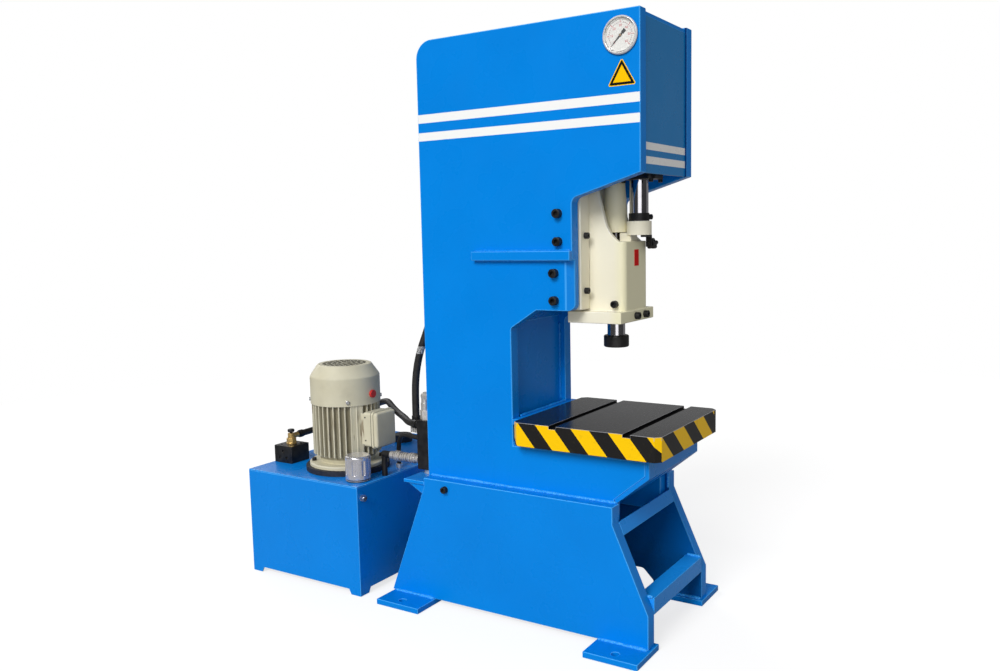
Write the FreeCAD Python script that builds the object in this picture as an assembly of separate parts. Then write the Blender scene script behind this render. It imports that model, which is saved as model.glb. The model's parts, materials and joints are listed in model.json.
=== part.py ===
import FreeCAD, Part
import math
import os

# A C-frame hydraulic press with a guided slide, and the oil tank and motor pump that drive it.
# Millimetres, +Z up, the front of the press faces -Y. The origin is on the floor, in the middle of
# the four anchor holes, and X = 0 is the middle plane of the press.

V = FreeCAD.Vector

# ---- driving dimensions: welded frame ---------------------------------------------------------
press_height = 2000.0
column_width = 424.0          # across the outside of the two C-shaped side plates
side_plate = 45.0             # thickness of a C-shaped side plate
head_front = -465.0           # front edge of the head
column_rear = 376.0
top_corner_radius = 62.0      # rounded rear corner of the head
head_depth = 488.0            # from the top of the head down to its lower front corner
nose_front = -227.0           # front edge of the nose
nose_chamfer_depth = 25.0     # chamfer of its outer corner below the stiffener bar, along Y
nose_chamfer_width = 18.0
belly_slope = 71.0            # height of the slope between the head and the nose
nose_depth = 920.0            # from the top of the head down to the lower end of the nose
nose_corner_radius = 22.0
throat_front = -90.0          # start of the slope under the nose
throat_rear = 10.0
throat_slope = 64.0           # height of the slope under the nose
plate_bottom = 340.0          # lower edge of the side plates, inside the base
web_plate = 12.0              # thickness of the closing plates between the side plates
web_recess = 23.0             # closing plate of the throat stands back from the plate edges
cover_recess = 6.0            # covers of the head and column stand back from the plate edges
jaw_front = -490.0            # front of the jaw under the table
jaw_corner = 559.0            # where the jaw front turns into its slope
jaw_foot_front = -377.0       # lower end of the slope of the jaw
jaw_plate_thickness = 14.0
rear_strip_thickness = 20.0   # bar that closes the gap between the table and the column
rear_strip_drop = 1.0         # below the top of the table
stiffener_rise = 195.0        # top of the bar over the lower end of the nose
stiffener_height = 30.0
stiffener_depth = 20.0        # how far the bar stands out from the side plate
stiffener_rear = 151.0

# ---- driving dimensions: base -----------------------------------------------------------------
base_plate = 48.0             # thickness of a base side plate
base_top = 466.0
base_front_top = -384.0
base_shoulder = 408.0         # lower end of the short upright at the top of the front
base_front_foot = -506.0
base_slope_end = 132.0        # lower end of the front slope
base_rear_top = 363.0
base_rear_shoulder = 433.0
base_rear_foot = 523.0
foot_thickness = 20.0
foot_inner = 195.0
foot_outer = 365.0
foot_near = 327.0             # nearest and furthest reach of a foot plate along Y
foot_far = 515.0
anchor_x = 328.0
anchor_y = 424.0
anchor_hole_radius = 13.5
arch_top = 94.0               # cut-out in the lower edge of the right base plate
arch_front = -321.0
arch_rear = 330.0
arch_slant = 40.0
arch_radius = 20.0
flat_bar_width = 45.0
flat_bar_thickness = 12.0
front_bar_drop = 2.0          # distance down the slope to the flat bar
rear_bar_drop = 72.0
box_bar_depth = 58.0
box_bar_height = 55.0
box_bar_wall = 6.0
box_bar_bottom = 121.0
rear_box_bar_front = 392.0

# ---- driving dimensions: table ----------------------------------------------------------------
table_top = 707.0
table_thickness = 80.0
table_width = 520.0
table_front = -545.0
table_rear = -15.0
table_corner = 18.0           # chamfer of the upright corners
groove_centres = (-170.0, -434.0)
groove_width = 25.0
groove_depth = 10.0
table_bolt_x = 120.0
table_bolt_rows = (-110.0, -360.0)
table_bolt_reach = 28.0

# ---- driving dimensions: guide and slide ------------------------------------------------------
ram_axis_y = -280.0           # axis of the cylinder, the tool shank and the tool nut
guide_rise = 25.0             # guide housing stands above the foot of the slope
guide_back_wall = 22.0
guide_front = -200.0          # front face of the guide housing, behind the gib plates
gib_thickness = 30.0
gib_inset = 8.0               # gap between a gib plate and the side plate
gib_gap = 2.0                 # gap between a gib plate and the side of the slide
wing_half_width = 108.0
guide_back = -140.0           # front face of the back wall of the housing
running_gap = 0.3
slide_half_width = 94.0
slide_front = -355.0
slide_corner_radius = 22.0
deck_rise = 220.0             # deck over the lower end of the nose, with the slide up
cheek_thickness = 18.0
cheek_head = -256.0           # front of a cheek at its top
cheek_knee = -296.0           # where its upright front would turn towards the deck
cheek_knee_rise = 33.0
cheek_radius = 110.0
cheek_head_rise = 14.0        # top of the cheeks over the guide housing
marker_width = 34.0           # plain plate on the front of the slide
marker_height = 54.0
marker_drop = 27.0            # below the deck
marker_thickness = 1.0
flange_thickness = 38.0
flange_gap = 7.0              # between the tool flange and the nose
flange_half_width = 132.0
flange_front = -359.0
flange_rear = -165.0
shank_radius = 30.0
shank_seat = 30.0             # depth of the shank in the slide
shank_reach = 75.0            # below the tool flange
punch_bore_radius = 20.0
punch_bore_depth = 60.0
tool_nut_radius = 42.5
tool_nut_drop = 50.0
tool_nut_height = 40.0
fit_gap = 0.05

# ---- driving dimensions: cylinder, guide rod and arm ------------------------------------------
slide_stroke = 200.0
barrel_radius = 32.0
barrel_bore = 25.0
barrel_lift = 30.0            # lower end of the barrel over the deck
barrel_head = 160.0           # barrel above the belly plate
barrel_foot_radius = 43.0     # the lower end of the barrel widens to a rim
barrel_foot_height = 15.0
barrel_taper = 150.0          # length of the taper above the rim
barrel_cap = 30.0
barrel_flange_half = 62.0
barrel_flange_front = -320.0
barrel_flange_rear = -222.0
barrel_flange = 25.0
piston_rod_radius = 16.0
piston_height = 40.0
piston_seat = 15.0            # depth of the rod in the deck
belly_lift = 6.0              # belly plate over the lower corner of the head
guide_rod_y = -365.0
guide_rod_radius = 31.0
guide_rod_spare = 25.0        # rod left above the bush with the slide down
ring_radius = 41.0
ring_lift = 20.0              # ring over the deck
ring_height = 46.0
collar_radius = 34.0
collar_height = 26.0
arm_half_width = 25.0
arm_thickness = 8.0
arm_rear = -306.0
strap_thickness = 7.0         # bent strap under the ring that holds the clamp knob
lug_inner = 42.0
lug_outer = 50.0
lug_half_depth = 10.0
lug_below_knob = 10.0
knob_y = -380.0
knob_drop = 10.0              # axis of the clamp knob below the deck
knob_radius = 18.0
knob_width = 28.0
knob_stem = 8.0
knob_stem_radius = 5.0
bush_flange_half = 52.0
bush_flange_rear = -316.0
bush_flange_front = -436.0
bush_flange = 18.0
bush_sleeve_radius = 37.0
bush_sleeve_rise = 15.0
bush_gap = 0.1

# ---- driving dimensions: gauge ----------------------------------------------------------------
gauge_y = -401.0
gauge_drop = 78.0             # centre of the gauge below the top of the head
bezel_radius = 57.5
bezel_depth = 9.0
gauge_case_radius = 50.0
gauge_case_wall = 3.0
gauge_case_length = 44.0
glass_radius = 52.0
glass_thickness = 2.0
dial_thickness = 1.5
pointer_length = 43.0
pointer_tail = 17.0
pointer_angle = -45.0
pointer_pin_radius = 1.6

# ---- driving dimensions: oil tank -------------------------------------------------------------
tank_left = -345.0
tank_right = 475.0
tank_front = 608.0
tank_rear = 1178.0
tank_height = 419.0
tank_wall = 5.0
lid_thickness = 5.0
tank_floor = 20.0
tank_foot = 48.0
plug_x = -318.0
plug_drop = 42.0              # below the underside of the lid
plug_radius = 8.0

# ---- driving dimensions: motor pump -----------------------------------------------------------
motor_x = -125.0
motor_y = 845.0
seal_ring_radius = 165.0
seal_ring_inner = 100.0
seal_ring_thickness = 20.0
flange_ring_radius = 150.0
flange_ring_thickness = 14.0
bolt_circle_radius = 132.5
neck_radius = 104.0
fin_root_radius = 118.0
fin_tip_radius = 134.0
fin_count = 36
fin_thickness = 5.0
fin_start = 66.0              # heights of the motor are over the tank lid
frame_height = 290.0
rotor_radius = 70.0
stator_gap = 2.0
motor_shaft_radius = 19.0
bearing_radius = 31.0
bearing_width = 16.0
cowl_radius = 137.0
cowl_wall = 2.5
cowl_shoulder_height = 373.0
cowl_height = 419.0
cowl_top_radius = 105.0
cowl_overlap = 24.0           # the cowl reaches down over a turned spigot on the frame
grille_rings = ((14.0, 27.0), (33.0, 47.0), (53.0, 67.0), (73.0, 86.0))
grille_counts = (6, 12, 18, 24)
grille_rib = 5.0
fan_radius = 112.0
fan_start = 300.0
fan_height = 45.0
fan_blades = 8
fan_blade = 4.0
fan_hub_radius = 30.0
pad_half_width = 50.0
pad_start = 113.0
pad_height = 122.0
pad_proud = 4.0               # pad of the terminal box beyond the tips of the fins
box_depth = 40.0
lid_depth = 27.0
box_margin = 6.0
lid_margin = 12.0
red_plug_radius = 15.5
red_plug_height = 306.0
red_plug_reach = 9.0
bell_radius = 75.0
bell_wall = 9.0
bell_depth = 99.0             # below the top of the lid
pump_half_width = 45.0
pump_height = 100.0
pump_shaft_radius = 9.0
coupling_radius = 30.0
coupling_depth = 14.0
coupling_height = 70.0
strainer_radius = 40.0
strainer_bottom = 60.0
strainer_height = 70.0
suction_pipe_radius = 17.0

# ---- driving dimensions: fittings on the tank -------------------------------------------------
breather_x = -262.0
breather_y = 672.0
breather_flange_radius = 47.0
breather_flange = 5.0
breather_neck_radius = 28.0
breather_neck = 27.0          # heights over the tank lid
breather_cap_radius = 48.0
breather_cap_height = 98.0
breather_skirt_height = 10.0
breather_flutes = 8
breather_flute_radius = 9.0
breather_flute_height = 56.0
breather_basket_radius = 24.0
breather_basket_depth = 79.0
filter_x = 330.0
filter_y = 930.0
filter_radius = 42.0
filter_height = 34.0
filter_depth = 60.0
filter_shoulder = 8.0
valve_x = -160.0
valve_y = 1122.0
valve_width = 100.0
valve_depth = 96.0
valve_height = 70.0
valve_screw_inset = 22.0
valve_screw_radius = 5.0
valve_ports = ((30.0, 22.0), (66.0, 22.0), (48.0, 48.0))
valve_port_radius = 6.0
valve_base_radius = 21.0
valve_base_height = 6.0
valve_hex = 36.0              # across flats of the brass fitting
valve_hex_height = 18.0
valve_neck_radius = 14.0
valve_neck_height = 20.0
outlet_reach = 36.0
outlet_rise = 8.0            # height of the side outlet above the hexagon
relief_knob_radius = 14.0
relief_knob_height = 12.0
relief_stem_radius = 5.0
relief_stem = 5.0

# ---- driving dimensions: manifold and lines ---------------------------------------------------
manifold_left = -180.0
manifold_width = 84.0
manifold_front = 384.0
manifold_depth = 68.0
manifold_height = 185.0
shelf_drop = 14.0             # shelf below the top of the base plates
shelf_thickness = 12.0
shelf_rear = 455.0
shelf_right = -100.0
shelf_gusset = 38.0
post_radius = 17.0
post_height = 18.0
top_port_x = -150.0
top_port_y = 430.0
top_nut_radius = 20.0
top_nut_height = 62.0
elbow_radius = 16.0
elbow_rise = 87.0             # elbow over the manifold block
union_x = -165.0
union_rise = 34.0             # pressure line over the lower end of the block
union_length = 136.0
union_radius = 15.0
pressure_stub_gap = 4.0       # between the pressure elbow and the lid of the terminal box
pressure_stub_radius = 11.0
lift_hose_radius = 14.0
relief_hose_radius = 13.0
relief_port_drop = 21.0       # relief line below the top of the block
return_port_rise = 105.0      # return line over the lower end of the block
return_riser = 45.0           # foot of the return hose over the tank lid
return_hose_radius = 9.0
ferrule_wall = 2.5
ferrule_length = 28.0

# ---- fasteners --------------------------------------------------------------------------------
side_bolt_rises = (315.0, 225.0, 123.0, 34.0)
side_bolt_upper_y = -178.0
side_bolt_lower_y = -162.0
side_bolt_radius = 10.0
base_bolt_y = 268.0
base_bolt_drop = 30.0
base_bolt_radius = 8.0
gib_bolt_rises = (242.0, 62.0)
gib_bolt_radius = 7.0
gib_bolt_reach = 20.0
bush_bolt_radius = 5.0
bush_bolt_x = 39.0
bush_bolt_rows = (-328.0, -424.0)
flange_bolt_radius = 6.0
slide_screw_radius = 8.0
slide_screw_reach = 30.0
front_screw_places = (-16.0, 55.0)
side_screw_y = -322.0
side_screw_rise = 24.0        # over the tool flange
cowl_screw_radius = 5.0
cowl_screw_rise = 17.0        # over the lower edge of the cowl
head_ratio = 1.5              # head radius of a socket screw to its shank radius

# ---- places worked out from the driving dimensions --------------------------------------------
half_width = column_width / 2
inner_half = half_width - side_plate
base_half = half_width + base_plate
table_bottom = table_top - table_thickness
head_bottom = press_height - head_depth
nose_top = head_bottom - belly_slope
nose_bottom = press_height - nose_depth
throat_slope_end = nose_bottom - throat_slope
stiffener_top = nose_bottom + stiffener_rise
stiffener_bottom = stiffener_top - stiffener_height
guide_bottom = nose_bottom
guide_top = nose_top + guide_rise
guide_rear = guide_back + guide_back_wall
gib_outer = inner_half - gib_inset
gib_inner = slide_half_width + gib_gap
gib_bolt_x = (gib_inner + gib_outer) / 2
gib_front = guide_front - gib_thickness
deck_top = nose_bottom + deck_rise
slide_head = guide_top + cheek_head_rise
marker_top = deck_top - marker_drop
flange_top = nose_bottom - flange_gap
flange_bottom = flange_top - flange_thickness
front_screw_z = flange_top - flange_thickness / 2
side_screw_z = flange_top + side_screw_rise
shank_bottom = flange_bottom - shank_reach
tool_nut_top = flange_bottom - tool_nut_drop
tool_nut_bottom = tool_nut_top - tool_nut_height
slide_rear = guide_back - running_gap
wing_front = guide_front + running_gap
belly_bottom = head_bottom + belly_lift
belly_top = belly_bottom + web_plate
barrel_bottom = deck_top + barrel_lift
barrel_top = belly_top + barrel_head
ring_bottom = deck_top + ring_lift
ring_top = ring_bottom + ring_height
knob_z = deck_top - knob_drop
gauge_z = press_height - gauge_drop
bush_bottom = belly_bottom - bush_flange
bush_top = belly_top + bush_sleeve_rise
lid_bottom = tank_height - lid_thickness
plug_z = lid_bottom - plug_drop
flange_ring_bottom = tank_height + seal_ring_thickness
flange_ring_top = flange_ring_bottom + flange_ring_thickness
fin_bottom = tank_height + fin_start
fin_top = tank_height + frame_height
spigot_bottom = fin_top - cowl_overlap
cowl_shoulder = tank_height + cowl_shoulder_height
cowl_top = tank_height + cowl_height
fan_bottom = tank_height + fan_start
pad_bottom = tank_height + pad_start
pad_top = pad_bottom + pad_height
pad_front = motor_y - fin_tip_radius - pad_proud
terminal_front = pad_front - box_depth - lid_depth
pressure_stub_y = terminal_front - pressure_stub_gap - pressure_stub_radius - 2
red_plug_z = tank_height + red_plug_height
bell_bottom = tank_height - bell_depth
pump_bottom = bell_bottom - pump_height
coupling_top = tank_height - coupling_depth
coupling_bottom = coupling_top - coupling_height
strainer_top = strainer_bottom + strainer_height
breather_neck_top = tank_height + breather_neck
breather_skirt = tank_height + breather_skirt_height
breather_cap_top = tank_height + breather_cap_height
breather_basket_bottom = tank_height - breather_basket_depth
cowl_screw_z = spigot_bottom + cowl_screw_rise
valve_top = tank_height + valve_height
valve_hex_top = valve_top + valve_base_height + valve_hex_height
outlet_z = valve_hex_top + outlet_rise
manifold_right = manifold_left + manifold_width
manifold_rear = manifold_front + manifold_depth
shelf_top = base_top - shelf_drop
manifold_bottom = shelf_top + post_height
manifold_top = manifold_bottom + manifold_height
elbow_z = manifold_top + elbow_rise
union_z = manifold_bottom + union_rise
base_bolt_z = base_top - base_bolt_drop
cover_front = head_front + cover_recess
cover_top = press_height - cover_recess
rear_face = column_rear - cover_recess


# ---- shape helpers ----------------------------------------------------------------------------
def box(x0, x1, y0, y1, z0, z1):
    return Part.makeBox(x1 - x0, y1 - y0, z1 - z0, V(x0, y0, z0))


def bar(radius, start, direction, length):
    return Part.makeCylinder(radius, length, V(*start), V(*direction))


def pipe(outer, inner, start, direction, length):
    return bar(outer, start, direction, length).cut(bar(inner, start, direction, length))


def corner_arc(before, corner, after, radius):
    """Start, middle and end of the arc that rounds one corner of an outline."""
    p = V(corner[0], corner[1], 0)
    a = (V(before[0], before[1], 0) - p).normalize()
    b = (V(after[0], after[1], 0) - p).normalize()
    half = a.getAngle(b) / 2
    reach = radius / math.tan(half)
    inward = (a + b).normalize()
    middle = p + inward * (radius / math.sin(half) - radius)
    return p + a * reach, middle, p + b * reach


def face(points):
    """Flat face in the XY plane from corners (u, v) or rounded corners (u, v, radius)."""
    edges = []
    first = None
    last = None
    count = len(points)
    for i, corner in enumerate(points):
        if len(corner) == 3:
            start, middle, end = corner_arc(points[i - 1], corner, points[(i + 1) % count], corner[2])
        else:
            start = V(corner[0], corner[1], 0)
            middle = None
            end = start
        if last is not None and last.distanceToPoint(start) > 1e-6:
            edges.append(Part.LineSegment(last, start).toShape())
        if middle is not None:
            edges.append(Part.Arc(start, middle, end).toShape())
        if first is None:
            first = start
        last = end
    if last.distanceToPoint(first) > 1e-6:
        edges.append(Part.LineSegment(last, first).toShape())
    return Part.Face(Part.Wire(edges))


def plate_z(points, z0, z1):
    """Plate with its outline in XY."""
    flat = face(points)
    flat.translate(V(0, 0, z0))
    return flat.extrude(V(0, 0, z1 - z0))


def plate_x(points, x0, x1):
    """Plate with its outline in YZ."""
    flat = face(points)
    flat.Placement = FreeCAD.Placement(V(x0, 0, 0), FreeCAD.Rotation(V(1, 1, 1), 120))
    return flat.extrude(V(x1 - x0, 0, 0))


def plate_y(points, y0, y1):
    """Plate with its outline in XZ."""
    flat = face(points)
    flat.Placement = FreeCAD.Placement(V(0, y0, 0), FreeCAD.Rotation(V(1, 0, 0), 90))
    return flat.extrude(V(0, y1 - y0, 0))


def turned(profile, x, y):
    """Solid turned about a vertical axis at x, y from corners (radius, height)."""
    flat = face(profile)
    flat.Placement = FreeCAD.Placement(V(x, y, 0), FreeCAD.Rotation(V(1, 0, 0), 90))
    return flat.revolve(V(x, y, 0), V(0, 0, 1), 360)


def turned_x(profile, y, z):
    """Solid turned about an axis along X at y, z from corners (x, radius)."""
    flat = face(profile)
    flat.Placement = FreeCAD.Placement(V(0, y, z), FreeCAD.Rotation(V(1, 0, 0), 90))
    return flat.revolve(V(0, y, z), V(1, 0, 0), 360)


def hexagon(x, y, flats, z0, z1):
    radius = flats / math.sqrt(3)
    corners = [
        (x + radius * math.cos(math.radians(60 * i)), y + radius * math.sin(math.radians(60 * i)))
        for i in range(6)
    ]
    return plate_z(corners, z0, z1)


def offset_path(points, distance):
    """Open path of straight runs moved sideways, to its left, by a distance."""
    lines = []
    for (u0, v0), (u1, v1) in zip(points, points[1:]):
        length = math.hypot(u1 - u0, v1 - v0)
        side = (-(v1 - v0) / length * distance, (u1 - u0) / length * distance)
        lines.append(((u0 + side[0], v0 + side[1]), (u1 + side[0], v1 + side[1])))
    moved = [lines[0][0]]
    for (a, b), (c, d) in zip(lines, lines[1:]):
        run = (b[0] - a[0], b[1] - a[1])
        turn = (d[0] - c[0], d[1] - c[1])
        cross = run[0] * turn[1] - run[1] * turn[0]
        t = ((c[0] - a[0]) * turn[1] - (c[1] - a[1]) * turn[0]) / cross
        moved.append((a[0] + run[0] * t, a[1] + run[1] * t))
    moved.append(lines[-1][1])
    return moved


def bent_plate(points, thickness, x0, x1):
    """Folded plate that follows a path in YZ, with its thickness to the left of the path."""
    return plate_x(points + offset_path(points, thickness)[::-1], x0, x1)


def mirrored(shape):
    return shape.mirror(V(0, 0, 0), V(1, 0, 0))


def polar(radius, degrees):
    return radius * math.cos(math.radians(degrees)), radius * math.sin(math.radians(degrees))


def socket_screw(seat, direction, radius, length):
    """Socket head screw: its head stands on the seat and its shank runs along the direction."""
    along = V(*direction).normalize()
    head_radius = radius * head_ratio
    head_height = radius * 2
    key = radius * 0.85
    head = bar(head_radius, V(*seat) - along * head_height, along, head_height)
    recess = Part.Face(Part.makePolygon([V(*polar(key, 60 * i), 0) for i in range(7)]))
    recess = recess.extrude(V(0, 0, radius))
    recess.Placement = FreeCAD.Placement(V(*seat) - along * head_height, FreeCAD.Rotation(V(0, 0, 1), along))
    return head.cut(recess).fuse(bar(radius, seat, along, length)).removeSplitter()


def save(name, *pieces):
    solids = []
    for piece in pieces:
        solids += piece.Solids
    shape = solids[0] if len(solids) == 1 else Part.makeCompound(solids)
    for solid in solids:
        if not solid.isValid() or solid.Volume <= 0:
            raise ValueError(name + " is not a valid solid")
    shape.exportStep(os.path.join("parts", name + ".step"))


# ---- welded frame -----------------------------------------------------------------------------
def jaw_path():
    """Outside of the jaw plate, from the throat forwards and down to the base."""
    return [
        (throat_rear, table_bottom),
        (jaw_front, table_bottom),
        (jaw_front, jaw_corner),
        (jaw_foot_front, base_top),
    ]


def side_plate_outline():
    """C shape of a side plate: head, nose, throat, jaw and column."""
    inside = offset_path(jaw_path(), jaw_plate_thickness)
    heel = inside[-1]
    return [
        (head_front, press_height),
        (column_rear, press_height, top_corner_radius),
        (column_rear, plate_bottom),
        (heel[0], plate_bottom),
        heel,
        inside[2],
        inside[1],
        inside[0],
        (throat_rear, throat_slope_end, 15),
        (throat_front, nose_bottom, 15),
        (nose_front, nose_bottom, nose_corner_radius),
        (nose_front, nose_top, 25),
        (head_front, head_bottom),
    ]


def side_bolt_places():
    return [
        (side_bolt_upper_y if rise > stiffener_rise else side_bolt_lower_y, nose_bottom + rise)
        for rise in side_bolt_rises
    ]


def side_plates():
    left = plate_x(side_plate_outline(), -half_width, -inner_half)
    corner = [
        (-half_width, nose_front),
        (-half_width + nose_chamfer_width, nose_front),
        (-half_width, nose_front + nose_chamfer_depth),
    ]
    left = left.cut(plate_z(corner, nose_bottom, stiffener_bottom))
    for y, z in side_bolt_places():
        left = left.cut(bar(side_bolt_radius, (-half_width, y, z), (1, 0, 0), side_plate))
    left = left.cut(bar(base_bolt_radius, (-half_width, base_bolt_y, base_bolt_z), (1, 0, 0), side_plate))
    right = mirrored(left)
    left = left.cut(bar(gauge_case_radius, (-half_width, gauge_y, gauge_z), (1, 0, 0), side_plate))
    save("side_plate_left", left)
    save("side_plate_right", right)


def throat_path():
    """Visible side of the folded plate that closes the nose and the throat, going down."""
    edge = [
        (nose_front, nose_bottom),
        (throat_front, nose_bottom),
        (throat_rear, throat_slope_end),
        (throat_rear, table_bottom),
    ]
    return offset_path(edge, web_recess)


def closing_plates():
    top = box(-inner_half, inner_half, cover_front, column_rear - 2 * top_corner_radius,
              cover_top - web_plate, cover_top)
    save("head_top_plate", top)

    cover = box(-inner_half, inner_half, cover_front, cover_front + web_plate, head_bottom, cover_top - web_plate)
    save("head_front_cover", cover)

    web_front = guide_rear
    belly = box(-inner_half, inner_half, cover_front + web_plate, web_front + web_plate, belly_bottom, belly_top)
    belly = belly.cut(bar(barrel_radius, (0, ram_axis_y, belly_bottom), (0, 0, 1), web_plate))
    belly = belly.cut(bar(bush_sleeve_radius, (0, guide_rod_y, belly_bottom), (0, 0, 1), web_plate))
    for x, y in bush_bolt_places():
        belly = belly.cut(bar(bush_bolt_radius, (x, y, belly_bottom), (0, 0, 1), web_plate))
    save("head_belly_plate", belly)

    bend = top_corner_radius - cover_recess
    rear = plate_x(
        [
            (rear_face, plate_bottom),
            (rear_face, cover_top, bend),
            (column_rear - 2 * top_corner_radius, cover_top),
            (column_rear - 2 * top_corner_radius, cover_top - web_plate),
            (rear_face - web_plate, cover_top - web_plate, bend - web_plate),
            (rear_face - web_plate, plate_bottom),
        ],
        -inner_half,
        inner_half,
    )
    rear = rear.cut(bar(elbow_radius - 4, (top_port_x, rear_face - web_plate, elbow_z), (0, 1, 0), web_plate))
    rear = rear.cut(bar(elbow_radius - 4, (lift_port[0], rear_face - web_plate, lift_port[2]), (0, 1, 0), web_plate))
    save("rear_plate", rear)

    underside = throat_path()
    path = [(web_front, belly_bottom), (web_front, underside[0][1])] + underside[1:]
    save("throat_plate", bent_plate(path, web_plate, -inner_half, inner_half))

    jaw = bent_plate(jaw_path(), jaw_plate_thickness, -half_width, half_width)
    filler = box(-inner_half, inner_half, throat_rear, throat_rear + web_recess,
                 table_bottom - jaw_plate_thickness, table_bottom)
    jaw = jaw.fuse(filler).removeSplitter()
    for x, y in table_bolt_places():
        jaw = jaw.cut(bar(side_bolt_radius, (x, y, jaw_corner), (0, 0, 1), table_bottom - jaw_corner))
    strip_top = table_top - rear_strip_drop
    strip = box(-half_width, half_width, table_rear + running_gap, throat_rear,
                strip_top - rear_strip_thickness, strip_top)
    save("jaw_plate", jaw, strip)


def stiffener_bars():
    left = box(-half_width - stiffener_depth, -half_width, nose_front, stiffener_rear,
               stiffener_bottom, stiffener_top)
    save("stiffener_bars", left, mirrored(left))


def base_outline(bottom):
    return [
        (base_front_top, base_top),
        (base_front_top, base_shoulder),
        (base_front_foot, base_slope_end),
        (base_front_foot, foot_thickness),
    ] + bottom + [
        (base_rear_foot, foot_thickness),
        (base_rear_top, base_rear_shoulder),
        (base_rear_top, base_top),
    ]


def base():
    arch = [
        (arch_front, foot_thickness),
        (arch_front, arch_top - arch_slant),
        (arch_front + arch_slant, arch_top, arch_radius),
        (arch_rear - arch_slant, arch_top, arch_radius),
        (arch_rear, arch_top - arch_slant),
        (arch_rear, foot_thickness),
    ]
    bolt = bar(base_bolt_radius, (-base_half, base_bolt_y, base_bolt_z), (1, 0, 0), base_plate)
    left = plate_x(base_outline([]), -base_half, -half_width)
    save("base_plate_left", left.cut(bolt))
    right = plate_x(base_outline(arch), half_width, base_half)
    save("base_plate_right", right.cut(mirrored(bolt)))

    feet = []
    for side in (-1, 1):
        for end in (-1, 1):
            xs = sorted((side * foot_inner, side * foot_outer))
            ys = sorted((end * foot_near, end * foot_far))
            foot = box(xs[0], xs[1], ys[0], ys[1], 0, foot_thickness)
            hole = bar(anchor_hole_radius, (side * anchor_x, end * anchor_y, 0), (0, 0, 1), foot_thickness)
            feet.append(foot.cut(hole))
    save("foot_plates", *feet)


def flat_bar(start, end, drop):
    """Flat bar that lies flush in the slope from start to end, a distance down the slope."""
    run = math.hypot(end[0] - start[0], end[1] - start[1])
    along = ((end[0] - start[0]) / run, (end[1] - start[1]) / run)
    inward = (-along[1], along[0]) if along[0] < 0 else (along[1], -along[0])
    top = (start[0] + along[0] * drop, start[1] + along[1] * drop)
    low = (top[0] + along[0] * flat_bar_width, top[1] + along[1] * flat_bar_width)
    depth = (inward[0] * flat_bar_thickness, inward[1] * flat_bar_thickness)
    corners = [top, low, (low[0] + depth[0], low[1] + depth[1]), (top[0] + depth[0], top[1] + depth[1])]
    return plate_x(corners, -half_width, half_width)


def box_bar(front):
    outer = box(-half_width, half_width, front, front + box_bar_depth,
                box_bar_bottom, box_bar_bottom + box_bar_height)
    hollow = box(-half_width, half_width, front + box_bar_wall, front + box_bar_depth - box_bar_wall,
                 box_bar_bottom + box_bar_wall, box_bar_bottom + box_bar_height - box_bar_wall)
    return outer.cut(hollow)


def crossbars():
    front = flat_bar((base_front_top, base_shoulder), (base_front_foot, base_slope_end), front_bar_drop)
    rear = flat_bar((base_rear_top, base_rear_shoulder), (base_rear_foot, foot_thickness), rear_bar_drop)
    save("base_crossbars", front, rear, box_bar(base_front_foot), box_bar(rear_box_bar_front))


def table_bolt_places():
    return [(side * table_bolt_x, y) for side in (-1, 1) for y in table_bolt_rows]


def table():
    half = table_width / 2
    cut = table_corner
    body = plate_z(
        [
            (-half, table_front + cut),
            (-half + cut, table_front),
            (half - cut, table_front),
            (half, table_front + cut),
            (half, table_rear - cut),
            (half - cut, table_rear),
            (-half + cut, table_rear),
            (-half, table_rear - cut),
        ],
        table_bottom,
        table_top,
    )
    for y in groove_centres:
        body = body.cut(box(-half, half, y - groove_width / 2, y + groove_width / 2,
                            table_top - groove_depth, table_top))
    for x, y in table_bolt_places():
        body = body.cut(bar(side_bolt_radius, (x, y, table_bottom), (0, 0, 1), table_bolt_reach))
    save("work_table", body)


# ---- guide housing and slide ------------------------------------------------------------------
def guide():
    housing = box(-inner_half, inner_half, guide_front, guide_rear, guide_bottom, guide_top)
    channel = box(-wing_half_width - running_gap, wing_half_width + running_gap,
                  guide_front, guide_back, guide_bottom, guide_top)
    housing = housing.cut(channel)
    depth = inner_half - wing_half_width - 2 * running_gap
    for y, z in side_bolt_places():
        hole = bar(side_bolt_radius, (-inner_half, y, z), (1, 0, 0), depth - 8)
        housing = housing.cut(hole).cut(mirrored(hole))
    for x, z in gib_bolt_places():
        housing = housing.cut(bar(gib_bolt_radius, (x, guide_front, z), (0, 1, 0), gib_bolt_reach))
    save("slide_housing", housing)

    gib = box(-gib_outer, -gib_inner, gib_front, guide_front, guide_bottom, guide_top)
    for x, z in gib_bolt_places():
        gib = gib.cut(bar(gib_bolt_radius, (x, gib_front, z), (0, 1, 0), gib_thickness))
    save("gib_plates", gib, mirrored(gib))


def gib_bolt_places():
    return [(side * gib_bolt_x, nose_bottom + rise) for side in (-1, 1) for rise in gib_bolt_rises]


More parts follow.
